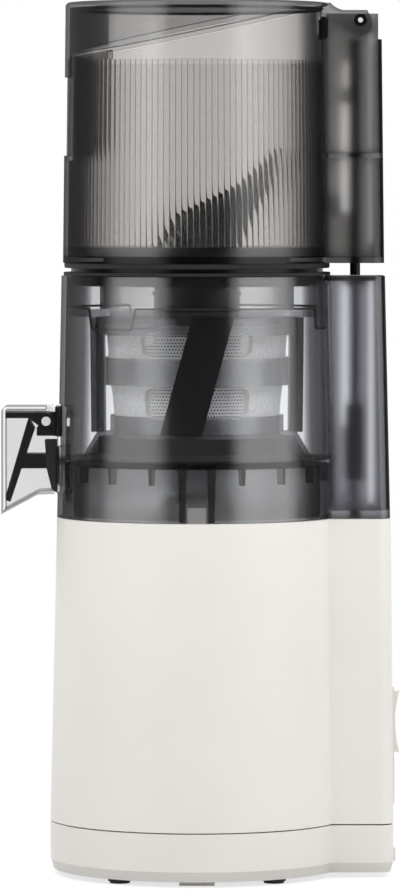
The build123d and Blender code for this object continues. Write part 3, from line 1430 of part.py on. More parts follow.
def hinge_point(x, z):
    """A point given from the hinge's axis, as (x, z) of the whole juicer."""
    return (hinge_x + x, hinge_z + z)


cam_steps = 10
cam_outline = []
for i in range(cam_steps + 1):
    turn = radians(lid_open_angle) * i / cam_steps
    radius = cam_radius - rod_travel * i / cam_steps
    cam_outline.append(hinge_point(radius * sin(turn), -radius * cos(turn)))
arm_top = 4.6
lid_edge = hopper_head_radius - hinge_x
with BuildPart() as lid_arm:
    with BuildSketch(Plane.XZ.offset(-knuckle_half)):
        with BuildLine():
            Polyline(
                *cam_outline,
                hinge_point(3.2, arm_top),
                hinge_point(lid_edge + 6.5, arm_top),
            )
            ThreePointArc(
                hinge_point(lid_edge + 6.5, arm_top),
                hinge_point(lid_edge + 3.2, arm_top + 1.2),
                hinge_point(lid_edge + 0.6, hinge_drop - 0.4),
            )
            Polyline(
                hinge_point(lid_edge + 0.6, hinge_drop - 0.4),
                hinge_point(lid_edge - lid_wall - 1, hinge_drop - 0.4),
                hinge_point(lid_edge - lid_wall - 1, hinge_drop - lid_roof - 0.05),
                hinge_point(lid_edge - 3.5, 2.0),
                hinge_point(-7.2, -3.2),
                hinge_point(-3.0, -7.2),
                cam_outline[0],
            )
        make_face()
    extrude(amount=2 * knuckle_half)
    add(cross_pin(hinge_x, hinge_z, -knuckle_half, knuckle_half, hinge_screw_radius + running_fit),
        mode=Mode.SUBTRACT)
    add(hopper_lid.part, mode=Mode.SUBTRACT)
finish(lid_arm, "lid_arm")
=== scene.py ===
"""Looks of an upright cold press juicer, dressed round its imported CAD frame.

The frame gives every rigid piece. This script adds the studio, the finishes
and the finer surfaces: the fluted lining of the hopper, the perforated
strainer screen, the locking ring and the small trim.
The sub-assemblies and the smoked finishes hold their sizes in millimetres,
which MM turns into metres. The studio's sizes are in metres.
"""
import logging
import math
from dataclasses import dataclass, field
from enum import Enum
from functools import reduce
from typing import ClassVar, Sequence

import bpy
import numpy as np
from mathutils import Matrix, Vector


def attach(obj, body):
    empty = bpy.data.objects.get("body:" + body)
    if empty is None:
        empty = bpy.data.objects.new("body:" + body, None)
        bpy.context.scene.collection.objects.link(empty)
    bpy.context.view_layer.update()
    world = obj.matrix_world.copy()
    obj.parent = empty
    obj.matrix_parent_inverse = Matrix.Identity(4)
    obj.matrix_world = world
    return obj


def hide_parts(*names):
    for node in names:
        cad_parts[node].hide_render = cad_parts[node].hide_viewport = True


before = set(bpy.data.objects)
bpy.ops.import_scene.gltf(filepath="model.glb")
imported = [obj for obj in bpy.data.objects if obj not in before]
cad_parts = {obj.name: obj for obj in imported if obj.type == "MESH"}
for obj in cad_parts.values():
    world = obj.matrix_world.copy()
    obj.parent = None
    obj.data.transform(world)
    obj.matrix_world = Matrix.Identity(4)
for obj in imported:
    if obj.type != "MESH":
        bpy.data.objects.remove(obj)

log = logging.getLogger("juicer")
MM = 0.001
FULL_TURN = 2 * math.pi
SHARP_ANGLE = math.radians(40.0)  # edges sharper than this stay sharp
POLE = 0.02  # size of the small opening at the middle of a closed cap, as a share of the cap

Colour = tuple[float, float, float]
Point = tuple[float, float, float]
Span = tuple[float, float]
Stops = tuple[tuple[float, Colour], ...]
Inputs = dict[str | int, object]
Socket = bpy.types.NodeSocket
Material = bpy.types.Material
Piece = bpy.types.Object
Array = np.ndarray

WHITE = (1.0, 1.0, 1.0)
FILLED = (0.3, 0.7)  # the range that a noise mostly fills
SPOTS = (0.35, 0.75)  # its upper part, which leaves separate spots


def opaque(colour: Colour) -> tuple[float, float, float, float]:
    """The colour with full alpha."""
    return (*colour, 1.0)


# ---- node graph
class Graph:
    """A small writer of shader nodes for one material or for the world."""

    def __init__(self, owner: Material | bpy.types.World) -> None:
        """Leaves the owner with nothing but its output node.

        Args:
            owner: a new material or world.
        """
        owner.use_nodes = True
        self.owner = owner
        self.tree = owner.node_tree
        self.tree.nodes.clear()
        self.output = self.node("OutputWorld" if isinstance(owner, bpy.types.World) else "OutputMaterial")

    def node(self, kind: str, inputs: Inputs | None = None, **fields: object) -> bpy.types.Node:
        """Adds one node.

        Args:
            kind: Blender's type name of the node, after ShaderNode.
            inputs: values or sockets for its inputs, by name or index.
            fields: properties of the node itself.

        Returns:
            The new node.
        """
        made = self.tree.nodes.new(f"ShaderNode{kind}")
        for key, value in fields.items():
            setattr(made, key, value)
        for key, value in (inputs or {}).items():
            if isinstance(value, Socket):
                self.tree.links.new(value, made.inputs[key])
            else:
                made.inputs[key].default_value = value
        return made

    def place(self) -> Socket:
        """The socket of Object coordinates."""
        return self.node("TexCoord").outputs["Object"]

    def facing(self) -> Socket:
        """0 where the surface is seen head on, 1 where it is seen edge on."""
        return self.node("LayerWeight", {"Blend": 0.5}).outputs["Facing"]

    def ray(self, kind: str) -> Socket:
        """1 for rays of one kind, such as Camera."""
        return self.node("LightPath").outputs[f"Is {kind} Ray"]

    def math(self, operation: str, *values: object) -> Socket:
        """One arithmetic step on sockets or numbers."""
        return self.node("Math", dict(enumerate(values)), operation=operation).outputs[0]

    def times(self, *values: object) -> Socket:
        """The product of sockets or numbers."""
        return reduce(lambda first, second: self.math("MULTIPLY", first, second), values)

    def most(self, *values: object) -> Socket:
        """The highest of sockets or numbers."""
        return reduce(lambda first, second: self.math("MAXIMUM", first, second), values)

    def rest(self, share: Socket) -> Socket:
        """What is left of 1."""
        return self.math("SUBTRACT", 1.0, share)

    def noise(self, scale: float, detail: float = 3.0, roughness: float = 0.5,
              stretch: Point = (1.0, 1.0, 1.0)) -> Socket:
        """Noise on Object coordinates.

        Args:
            scale: cells per metre.
            detail: octaves.
            roughness: weight of the finer octaves.
            stretch: scale of the pattern along X, Y and Z.

        Returns:
            The factor socket, about 0.5 on average.
        """
        mapped = self.node("Mapping", {"Vector": self.place(), "Scale": stretch}).outputs[0]
        return self.node("TexNoise", {"Vector": mapped, "Scale": scale, "Detail": detail,
                                      "Roughness": roughness}).outputs["Fac"]

    def spread(self, value: Socket, given: Span, wanted: Span) -> Socket:
        """Maps value from the range given onto the range wanted."""
        return self.node("MapRange", {"Value": value, "From Min": given[0], "From Max": given[1],
                                      "To Min": wanted[0], "To Max": wanted[1]}).outputs[0]

    def vary(self, noise: Socket, value: float, least: float, most: float) -> Socket:
        """Varies value by noise, from least to most times itself."""
        return self.spread(noise, FILLED, (value * least, value * most))

    def step(self, value: Socket, start: float, stop: float, top: float = 1.0) -> Socket:
        """Smooth step from 0 at start to top at stop."""
        return self.node("MapRange", {"Value": value, "From Min": start, "From Max": stop, "To Max": top},
                         interpolation_type="SMOOTHSTEP").outputs[0]

    def past(self, value: Socket, place: float, soft: float) -> Socket:
        """Smooth step up over soft millimetres to either side of place, or down if soft is negative."""
        return self.step(value, (place - soft) * MM, (place + soft) * MM)

    def within(self, value: Socket, low: float, high: float, soft: float) -> Socket:
        """1 between low and high, with soft edges, all in millimetres."""
        low, high, soft = low * MM, high * MM, soft * MM
        return self.times(self.step(value, low - soft, low + soft),
                          self.step(value, high + soft, high - soft))

    def blend(self, factor: Socket, first: Socket | Colour, second: Socket | Colour,
              mode: str = "MIX") -> Socket:
        """Mixes two colours.

        Args:
            factor: how much the second one counts.
            first: a colour or a socket of one.
            second: a colour or a socket of one.
            mode: Blender's name for the way they are mixed.

        Returns:
            The mixed colour.
        """
        inputs: Inputs = {"Factor": factor}
        for key, value in ((6, first), (7, second)):
            inputs[key] = value if isinstance(value, Socket) else opaque(value)
        return self.node("Mix", inputs, data_type="RGBA", blend_type=mode).outputs[2]

    def ramp(self, factor: Socket, stops: Stops) -> Socket:
        """A colour ramp.

        Args:
            factor: where on the ramp, from 0 to 1.
            stops: its stops, as (place, colour).

        Returns:
            The colour there.
        """
        made = self.node("ValToRGB", {"Fac": factor})
        bar = made.color_ramp
        while len(bar.elements) < len(stops):
            bar.elements.new(0.5)
        for element, (place, colour) in zip(bar.elements, stops):
            element.position, element.color = place, opaque(colour)
        return made.outputs["Color"]

    def bump(self, height: Socket, strength: float, distance: float) -> Socket:
        """A bump of height times distance, in metres."""
        return self.node("Bump", {"Height": height, "Strength": strength, "Distance": distance}).outputs[0]

    def shader(self, kind: str, inputs: Inputs) -> Socket:
        """One shader, by Blender's type name after ShaderNode."""
        return self.node(kind, inputs).outputs[0]

    def mix(self, share: Socket | float, first: Socket, second: Socket) -> Socket:
        """Mixes two shaders; share counts the second."""
        return self.shader("MixShader", {0: share, 1: first, 2: second})

    def principled(self, inputs: Inputs) -> Material:
        """Joins a Principled surface to the output and returns the material."""
        return self.finish(self.shader("BsdfPrincipled", inputs))

    def finish(self, surface: Socket) -> Material | bpy.types.World:
        """Joins surface to the output and returns the owner."""
        self.tree.links.new(surface, self.output.inputs["Surface"])
        return self.owner


# ---- finishes
@dataclass(frozen=True)
class Patch:
    """A soft-edged upright patch of the tail without its darker tint, so it looks lighter; in millimetres of
    x and z.
    """

    x: Span
    z: Span
    soft: float = 2.5
    share: float = 1.0


@dataclass(frozen=True)
class Tail:
    """The square tail outside the round column: a darker frosted wall with lighter clear patches."""

    column: float  # the round column's radius in millimetres
    tint: Colour
    patches: tuple[Patch, ...]
    soft: float = 0.6
    frost: float = 0.5  # roughness of the frosted wall
    bend: float = 1.3  # its index of refraction


@dataclass(frozen=True)
class Level:
    """A range of heights in millimetres where the round column, or the tail, is thicker."""

    z: Span
    tint: float
    tail: bool = False
    soft: float = 0.2


@dataclass(frozen=True)
class Ribs:
    """A zone of ribs below height z, between two radii in millimetres, darker than the wall."""

    z: float
    outer: float
    inner: float = 14.0
    soft: Span = (0.3, 0.1)  # at the height and at the radii
    tint: Colour = (0.1, 0.1, 0.1)


@dataclass(frozen=True)
class Pocket:
    """A finger pocket in front of x, up to half to either side and above foot, in millimetres."""

    x: float
    half: float
    foot: float
    soft: float = 0.1
    tint: Colour = (0.84, 0.84, 0.84)


@dataclass(frozen=True)
class SmokedPlastic:
    """Clear plastic with a smoke tint, which lets light and shadows straight through.

    A surface darkens as it is seen more edge on, because the way through the wall is longer.
    Levels, ribs and the pocket count only where there is a tail.
    """

    name: str
    stops: Stops  # share let through, from head on (0) to edge on (1)
    haze: float = 0.03  # share of milky scatter in the wall
    haze_colour: Colour = (0.4, 0.4, 0.4)
    haze_top: float = 0.0  # above this height in mm the scatter gives way to a dark flange
    flange_tint: Colour = (0.56, 0.56, 0.57)
    flange_soft: float = 0.2
    roughness: float = 0.1
    reflect: float = 0.05  # share reflected head on
    graze: float = 0.12  # and added to it edge on
    graze_power: float = 4.0  # the higher, the closer to the edge that sets in
    ripple: float = 0.1
    tail: Tail | None = None
    levels: tuple[Level, ...] = ()
    ribs: Ribs | None = None
    pocket: Pocket | None = None

    def zones(self, g: Graph, tint: Socket) -> tuple[Socket, Socket]:
        """Darkens the tail, the levels, the ribs and the pocket, and leaves the tail's patches clear.

        Args:
            g: the graph.
            tint: what one surface lets through.

        Returns:
            The tint with these zones in it, and the share of tail.
        """
        x, y, z = g.node("SeparateXYZ", {0: g.place()}).outputs
        radius = g.math("SQRT", g.math("ADD", g.times(x, x), g.times(y, y)))
        outside = g.step(radius, self.tail.column * MM, (self.tail.column + self.tail.soft) * MM)
        clear: Socket | float = 0.0
        for patch in self.tail.patches:
            spot = g.times(g.within(x, *patch.x, patch.soft), g.within(z, *patch.z, patch.soft), patch.share)
            clear = g.most(spot, clear)
        zones = [(g.times(outside, g.rest(clear)), self.tail.tint)]
        for level in self.levels:
            where = outside if level.tail else g.rest(outside)
            zones.append((g.times(where, g.within(z, *level.z, level.soft)), (level.tint,) * 3))
        if self.ribs:
            ribs, (soft_z, soft_radius) = self.ribs, self.ribs.soft
            ringed = g.within(radius, ribs.inner, ribs.outer, soft_radius)
            zones.append((g.times(ringed, g.past(z, ribs.z, -soft_z)), ribs.tint))
        if self.pocket:
            pocket, soft = self.pocket, self.pocket.soft
            beside = g.within(y, -pocket.half, pocket.half, soft)
            above, ahead = g.past(z, pocket.foot, soft), g.past(x, pocket.x, -soft)
            zones.append((g.times(beside, above, ahead), pocket.tint))
        for share, shade in zones:
            tint = g.blend(share, tint, shade, "MULTIPLY")
        return tint, outside

    def material(self) -> Material:
        """Builds the shader.

        Returns:
            A mix of tinted transparency, a little scatter and a glossy skin.
        """
        g = Graph(bpy.data.materials.new(self.name))
        facing = g.facing()
        through = g.ramp(facing, self.stops)
        veil = g.vary(g.noise(scale=900.0, detail=2.0), self.haze, 0.8, 1.2)
        if self.tail:
            through, outside = self.zones(g, through)
        if self.haze_top:
            z = g.node("SeparateXYZ", {0: g.place()}).outputs[2]
            hazy = g.past(z, self.haze_top, -self.flange_soft)
            through = g.blend(hazy, self.flange_tint, self.stops[0][1])
            veil = g.times(veil, hazy)
        see = g.shader("BsdfTransparent", {"Color": through})
        if self.tail:
            frost = g.shader("BsdfRefraction", {"Color": through, "IOR": self.tail.bend,
                                                "Roughness": self.tail.frost})
            see = g.mix(g.times(outside, g.rest(g.ray("Shadow"))), see, frost)
        body = g.mix(veil, see, g.shader("BsdfDiffuse", {"Color": opaque(self.haze_colour)}))
        smudge = g.spread(g.noise(scale=30.0), SPOTS, (self.roughness * 0.8, self.roughness * 1.3))
        waves = g.noise(scale=55.0, detail=2.0, stretch=(1.0, 1.0, 0.25))
        gloss = g.shader("BsdfGlossy", {"Color": opaque(WHITE), "Roughness": smudge,
                                        "Normal": g.bump(waves, self.ripple, distance=0.002)})
        steep = g.times(g.math("POWER", facing, self.graze_power), self.graze)
        return g.finish(g.mix(g.math("ADD", steep, self.reflect), body, gloss))


@dataclass(frozen=True)
class FlutedPlastic:
    """Clear plastic that bends or blurs what is seen through it, as reeded or frosted glass does."""

    name: str
    stops: Stops
    bend: float = 1.25  # index of refraction
    roughness: float = 0.02
    reflect: float = 0.026
    gloss: float = 0.16  # roughness of the reflection

    def material(self) -> Material:
        """Builds the shader.

        Returns:
            Refraction for what the eye sees, plain transparency for the lamps' light, a glossy skin.
        """
        g = Graph(bpy.data.materials.new(self.name))
        through = g.ramp(g.facing(), self.stops)
        rough = g.vary(g.noise(scale=40.0, detail=2.0), self.roughness, 0.5, 1.5)
        bent = g.shader("BsdfRefraction", {"Color": through, "IOR": self.bend, "Roughness": rough})
        straight = g.shader("BsdfTransparent", {"Color": through})
        skin = g.shader("BsdfGlossy", {"Color": opaque(WHITE), "Roughness": self.gloss})
        return g.finish(g.mix(self.reflect, g.mix(g.ray("Shadow"), bent, straight), skin))


@dataclass(frozen=True)
class MouldedPlastic:
    """Opaque moulded plastic with a fine spark-eroded grain and faint flow clouds."""

    name: str
    colour: Colour
    roughness: float
    grain: float
    cloud: float = 0.04
    specular: float = 0.5

    def material(self) -> Material:
        """Builds the shader.

        Returns:
            A Principled surface with grain in its bump and clouds in its tone.
        """
        g = Graph(bpy.data.materials.new(self.name))
        dark, light = (tuple(c * (1.0 + change) for c in self.colour)
                       for change in (-self.cloud, self.cloud))
        clouds = g.spread(g.noise(scale=14.0, detail=2.0), FILLED, (0.0, 1.0))
        grain = g.noise(scale=2600.0, detail=2.0, roughness=0.6)
        return g.principled({"Base Color": g.blend(clouds, dark, light), "Specular IOR Level": self.specular,
                             "Roughness": g.vary(grain, self.roughness, 0.92, 1.08),
                             "Normal": g.bump(grain, self.grain, distance=0.0001)})


@dataclass(frozen=True)
class SoftRubber:
    """Dull rubber with a pale bloom on its raised grain."""

    name: str
    colour: Colour
    bloom: float = 0.012
    roughness: Span = (0.62, 0.82)

    def material(self) -> Material:
        """Builds the shader.

        Returns:
            A dark, dull surface with a mottled bloom.
        """
        g = Graph(bpy.data.materials.new(self.name))
        mottle = g.noise(scale=420.0, detail=4.0, roughness=0.6)
        pale = tuple(c + self.bloom for c in self.colour)
        tone = g.blend(g.spread(mottle, (0.4, 0.75), (0.0, 1.0)), self.colour, pale)
        return g.principled({"Base Color": tone, "Roughness": g.spread(mottle, FILLED, self.roughness),
                             "Normal": g.bump(mottle, 0.35, distance=0.0002)})


class Grain(Enum):
    """How a metal surface was worked, as the stretch of its marks along X, Y and Z."""

    TURNED = (1.0, 1.0, 24.0)
    DRAWN = (1.0, 1.0, 0.04)
    ROLLED = (0.06, 1.0, 1.0)


@dataclass(frozen=True)
class WorkedMetal:
    """Bare metal with fine tool marks and a little staining."""

    name: str
    colour: Colour
    roughness: float
    grain: Grain
    metallic: float = 1.0
    stain: float = 0.82  # tone of the stains, as a share of the colour

    def material(self) -> Material:
        """Builds the shader.

        Returns:
            A metallic surface with streaks along the way it was worked.
        """
        g = Graph(bpy.data.materials.new(self.name))
        streaks = g.noise(scale=700.0, roughness=0.6, stretch=self.grain.value)
        stained = tuple(c * self.stain for c in self.colour)
        tone = g.blend(g.spread(g.noise(scale=60.0), SPOTS, (0.0, 0.5)), self.colour, stained)
        return g.principled({"Base Color": tone, "Metallic": self.metallic,
                             "Roughness": g.vary(streaks, self.roughness, 0.75, 1.3),
                             "Normal": g.bump(streaks, 0.2, distance=0.00008)})


@dataclass(frozen=True)
class CircuitBoard:
    """Green solder mask with copper tracks just showing through."""

    name: str
    mask: Colour
    track: Colour

    def material(self) -> Material:
        """Builds the shader.

        Returns:
            A glossy mask whose brick pattern, turned onto the board, reads as tracks.
        """
        g = Graph(bpy.data.materials.new(self.name))
        turned = g.node("Mapping", {"Vector": g.place(), "Rotation": (0.0, math.pi / 2, 0.0)}).outputs[0]
        darker = tuple(c * 0.8 for c in self.mask)
        bricks = g.node("TexBrick", {"Vector": turned, "Scale": 160.0, "Mortar Size": 0.06,
                                     "Color1": opaque(self.mask), "Color2": opaque(darker),
                                     "Mortar": opaque(self.track)})
        return g.principled({"Base Color": bricks.outputs["Color"], "Roughness": 0.3})


def clearness(*stops: Span, tint: Colour = WHITE) -> Stops:
    """Turns (place, share let through) pairs into the stops of a ramp, all of one tint."""
    return tuple((place, tuple(share * c for c in tint)) for place, share in stops)


FINISHES = (
    MouldedPlastic("cream_shell", (0.85, 0.825, 0.785), roughness=0.48, grain=0.3, cloud=0.02),
    SoftRubber("foot_rubber", (0.012, 0.012, 0.013)),
    MouldedPlastic("satin_black", (0.004, 0.004, 0.0045), roughness=0.24, grain=0.05, cloud=0.1,
                   specular=0.2),
    SmokedPlastic(
        "bowl_smoke", haze=0.003, ribs=Ribs(189.0, 61.2),
        stops=clearness((0.0, 0.965), (0.395, 0.95), (0.44, 0.6), (0.62, 0.48), (1.0, 0.2),
                        tint=(0.985, 0.99, 1.0)),
        levels=(Level((160.0, 188.2), 0.86), Level((188.2, 191.5), 0.62), Level((160.0, 168.3), 0.85, True)),
        tail=Tail(64.8, (0.66, 0.66, 0.68),
                  (Patch((65.5, 70.2), (206.0, 274.0)), Patch((65.5, 68.0), (176.0, 206.0), share=0.3),
                   Patch((78.0, 81.2), (171.0, 274.0), soft=1.6)))),
    SmokedPlastic(
        "hopper_smoke", haze=0.003, reflect=0.022, graze=0.09, roughness=0.2,
        pocket=Pocket(-38.6, 15.6, 327.4),
        stops=clearness((0.0, 0.86), (0.07, 0.88), (0.175, 0.84), (0.37, 0.8), (0.5, 0.52), (0.62, 0.4),
                        (1.0, 0.15), tint=(1.0, 0.993, 0.987)),
        levels=(Level((284.2, 288.3), 0.8), Level((280.6, 284.2), 0.3), Level((280.6, 284.0), 0.62, True),
                Level((329.2, 331.8), 0.78, True)),
        tail=Tail(62.0, (0.68, 0.68, 0.68),
                  (Patch((65.2, 71.6), (304.0, 354.0)), Patch((66.3, 70.4), (360.5, 373.0), soft=3.0),
                   Patch((78.0, 80.6), (290.0, 385.0), soft=1.6, share=0.7)))),
    SmokedPlastic(
        "lid_smoke", haze=0.003, roughness=0.2,
        stops=clearness((0.0, 0.8), (0.37, 0.72), (0.5, 0.55), (0.62, 0.45), (1.0, 0.2),
                        tint=(1.0, 0.993, 0.987))),
    SmokedPlastic("arm_smoke", clearness((0.0, 0.6), (1.0, 0.4)), haze=0.1, haze_colour=(0.1, 0.1, 0.1)),
    FlutedPlastic("flute_smoke", clearness((0.0, 0.96), (0.1, 0.95), (0.3, 0.86), (0.6, 0.55), (1.0, 0.3),
                                           tint=(1.0, 0.995, 0.99))),
    FlutedPlastic("band_frost", clearness((0.0, 0.86), (0.5, 0.78), (1.0, 0.4)), bend=1.3, roughness=0.45,
                  reflect=0.01),
    SmokedPlastic("cage_smoke", haze=0.01, stops=clearness((0.0, 0.72), (0.3, 0.68), (0.6, 0.5), (1.0, 0.3),
                                                           tint=(0.98, 0.985, 1.0))),
    SmokedPlastic("post_smoke", clearness((0.0, 0.25), (0.5, 0.23), (1.0, 0.12)), haze=0.003),
    SmokedPlastic("ring_smoke", clearness((0.0, 0.98), (0.5, 0.95), (1.0, 0.5)), haze=0.002, reflect=0.01),
    SmokedPlastic("skirt_smoke", clearness((0.0, 0.94), (0.5, 0.9), (1.0, 0.5)), haze=0.002, reflect=0.02),
    SmokedPlastic("band_smoke", clearness((0.0, 0.7), (0.3, 0.66), (0.6, 0.5), (1.0, 0.3)), haze=0.004,
                  reflect=0.01),
    SmokedPlastic("clear_hood", clearness((0.0, 0.965), (0.5, 0.93), (0.8, 0.7), (1.0, 0.35)), haze=0.01,
                  roughness=0.05),
    SmokedPlastic("strainer_pale", clearness((0.0, 0.95), (0.5, 0.9), (1.0, 0.6)), haze=0.62,
                  haze_colour=(0.84, 0.835, 0.82), haze_top=252.8, roughness=0.2),
    MouldedPlastic("gear_nylon", (0.72, 0.70, 0.64), roughness=0.42, grain=0.2),
    WorkedMetal("polished_steel", (0.62, 0.62, 0.63), 0.22, Grain.TURNED),
    WorkedMetal("drawn_steel", (0.45, 0.45, 0.47), 0.38, Grain.DRAWN),
    WorkedMetal("screen_steel", (0.86, 0.86, 0.85), 0.5, Grain.ROLLED, metallic=0.35),
    WorkedMetal("turned_brass", (0.72, 0.52, 0.25), 0.3, Grain.TURNED),
    CircuitBoard("solder_mask", (0.03, 0.16, 0.06), (0.32, 0.30, 0.08)),
)


class Palette:
    """Every finish of the juicer, each built once."""

    def __init__(self) -> None:
        """Builds the materials by name."""
        self.materials = {finish.name: finish.material() for finish in FINISHES}

    def dress(self, piece: Piece, name: str) -> None:
        """Gives a piece one finish in every slot it has.

        Args:
            piece: the object to dress.
            name: the finish.
        """
        slots, material = piece.data.materials, self.materials[name]
        if not len(slots):
            slots.append(material)
        for i in range(len(slots)):
            slots[i] = material


# ---- surfaces
@dataclass
class Sheet:
    """A mesh put together from grids of points, each a function of two parameters."""

    points: list[Array] = field(default_factory=list)
    faces: list[Array] = field(default_factory=list)
    count: int = 0

    def patch(self, points: Array, faces: Array) -> "Sheet":
        """Adds points and the faces between them.

        Args:
            points: points in metres.
            faces: four corners each, counted from the first of these points.

        Returns:
            This sheet.
        """
        self.faces.append(faces.reshape(-1, 4) + self.count)
        self.points.append(points.reshape(-1, 3))
        self.count += len(self.points[-1])
        return self

    def grid(self, rows: Array, wrap_u: bool = False, wrap_v: bool = False, flip: bool = False) -> "Sheet":
        """Adds the quads of a grid of points.

        Args:
            rows: points of shape (nu, nv, 3), in metres.
            wrap_u: joins the last row to the first.
            wrap_v: joins the last column to the first.
            flip: turns the faces over.

        Returns:
            This sheet.
        """
        nu, nv = rows.shape[:2]
        index = np.arange(nu * nv).reshape(nu, nv)
        if wrap_u:
            index = np.vstack([index, index[:1]])
        if wrap_v:
            index = np.hstack([index, index[:, :1]])
        quads = np.stack([index[:-1, :-1], index[1:, :-1], index[1:, 1:], index[:-1, 1:]], -1)
        return self.patch(rows, quads[..., ::-1] if flip else quads)

    def mesh(self, name: str) -> bpy.types.Mesh:
        """Makes the mesh of all that was added.

        Args:
            name: name of the mesh.

        Returns:
            The mesh.
        """
        mesh = bpy.data.meshes.new(name)
        mesh.from_pydata(np.vstack(self.points), [], np.vstack(self.faces).tolist())
        mesh.validate()
        return mesh


def open_turn(steps: int, start: float = 0.0) -> Array:
    """Evenly spread angles of a full turn, without the last, which would repeat the first."""
    return np.linspace(start, start + FULL_TURN, steps + 1)[:-1]


def around(radius: Array, angle: Array, height: Array) -> Array:
    """Points on a round surface: x = r cos a, y = r sin a, z, in metres from millimetres."""
    radius, angle, height = np.broadcast_arrays(radius, angle, height)
    return np.stack([radius * np.cos(angle), radius * np.sin(angle), height], -1) * MM


def ring_shell(profile: Sequence[Span], steps: int = 180) -> Sheet:
    """A closed profile carried round the Z axis.

    Args:
        profile: corner points (radius, z) in millimetres, in order round the section, anticlockwise
            when radius points right and z up.
        steps: divisions along the turn.

    Returns:
        A sheet with the swept profile.
    """
    radius, height = np.array(profile, float).T
    return Sheet().grid(around(radius[None], open_turn(steps)[:, None], height[None]), True, True)


def plain_band(outer: float, inner: float, low: float, high: float, steps: int = 180) -> Sheet:
    """A ring of rectangular section, between two radii and two heights in millimetres."""
    return ring_shell([(outer, low), (outer, high), (inner, high), (inner, low)], steps)


def wavy_ring(outer: float, inner: float, foot: Array, head: Array) -> Sheet:
    """A ring whose foot and head rise and fall: a four-cornered section carried round the Z axis.

    Args:
        outer: outer radius in millimetres.
        inner: inner radius.
        foot: heights of the foot at evenly spread angles from -pi.
        head: heights of the head.

    Returns:
        The sheet.
    """
    angle = open_turn(len(foot), -math.pi)[:, None]
    radius = np.array([[outer, outer, inner, inner]])
    return Sheet().grid(around(radius, angle, np.stack([foot, head, head, foot], -1)), True, True)


def mirrored_plates(x: Array, foot: Array, head: Array, outer: float, thick: float) -> Sheet:
    """Two upright plates along x, mirrored about the plane y = 0.

    Args:
        x: stations along the plates, in millimetres, rising.
        foot: height of the foot at each station.
        head: height of the head at each station.
        outer: distance of the outer faces from that plane.
        thick: thickness.

    Returns:
        The sheet, closed on all sides.
    """
    sheet = Sheet()
    z = np.stack([foot, head, head, foot], -1)
    for side in (-1, 1):
        far, near = side * outer, side * (outer - thick)
        y = np.broadcast_to(np.array([far, far, near, near]), z.shape)
        rows = np.stack([np.broadcast_to(x[:, None], z.shape), y, z], -1) * MM
        sheet.grid(rows, wrap_v=True, flip=side > 0)
        for end, turned in ((0, side < 0), (-1, side > 0)):
            sheet.grid(rows[end][[0, 1, 3, 2]].reshape(2, 2, 3), flip=turned)
    return sheet


# ---- studio
def stand(name: str, data: bpy.types.ID, place: Point, aim: Point) -> Piece:
    """Puts a camera or a lamp in the scene, facing a point.

    Args:
        name: name of the object.
        data: the camera or lamp.
        place: where it stands, in metres.
        aim: the point that it faces.

    Returns:
        The new object.
    """
    made = bpy.data.objects.new(name, data)
    made.location = place
    made.rotation_euler = (Vector(aim) - Vector(place)).to_track_quat("-Z", "Y").to_euler()
    bpy.context.scene.collection.objects.link(made)
    return made


@dataclass(frozen=True)
class Card:
    """A tall soft-edged white card, which only reflections see. Its angles are in degrees."""

    turn: float  # its middle, from the front towards the right
    half: float  # half its width
    soft: float  # width of its soft edge
    strength: float

    def brightness(self, g: Graph, way: Sequence[Socket]) -> Socket:
        """The card's light: a smooth step of the cosine between the ray and the card's middle.

        Args:
            g: the world's graph.
            way: the ray's x and y.

        Returns:
            The brightness for this ray.
        """
        turn = math.radians(self.turn)
        towards = g.math("SUBTRACT", g.times(way[0], math.sin(turn)), g.times(way[1], math.cos(turn)))
        dark, full = (math.cos(math.radians(self.half + soft)) for soft in (self.soft, -self.soft))
        return g.step(towards, dark, full, self.strength)


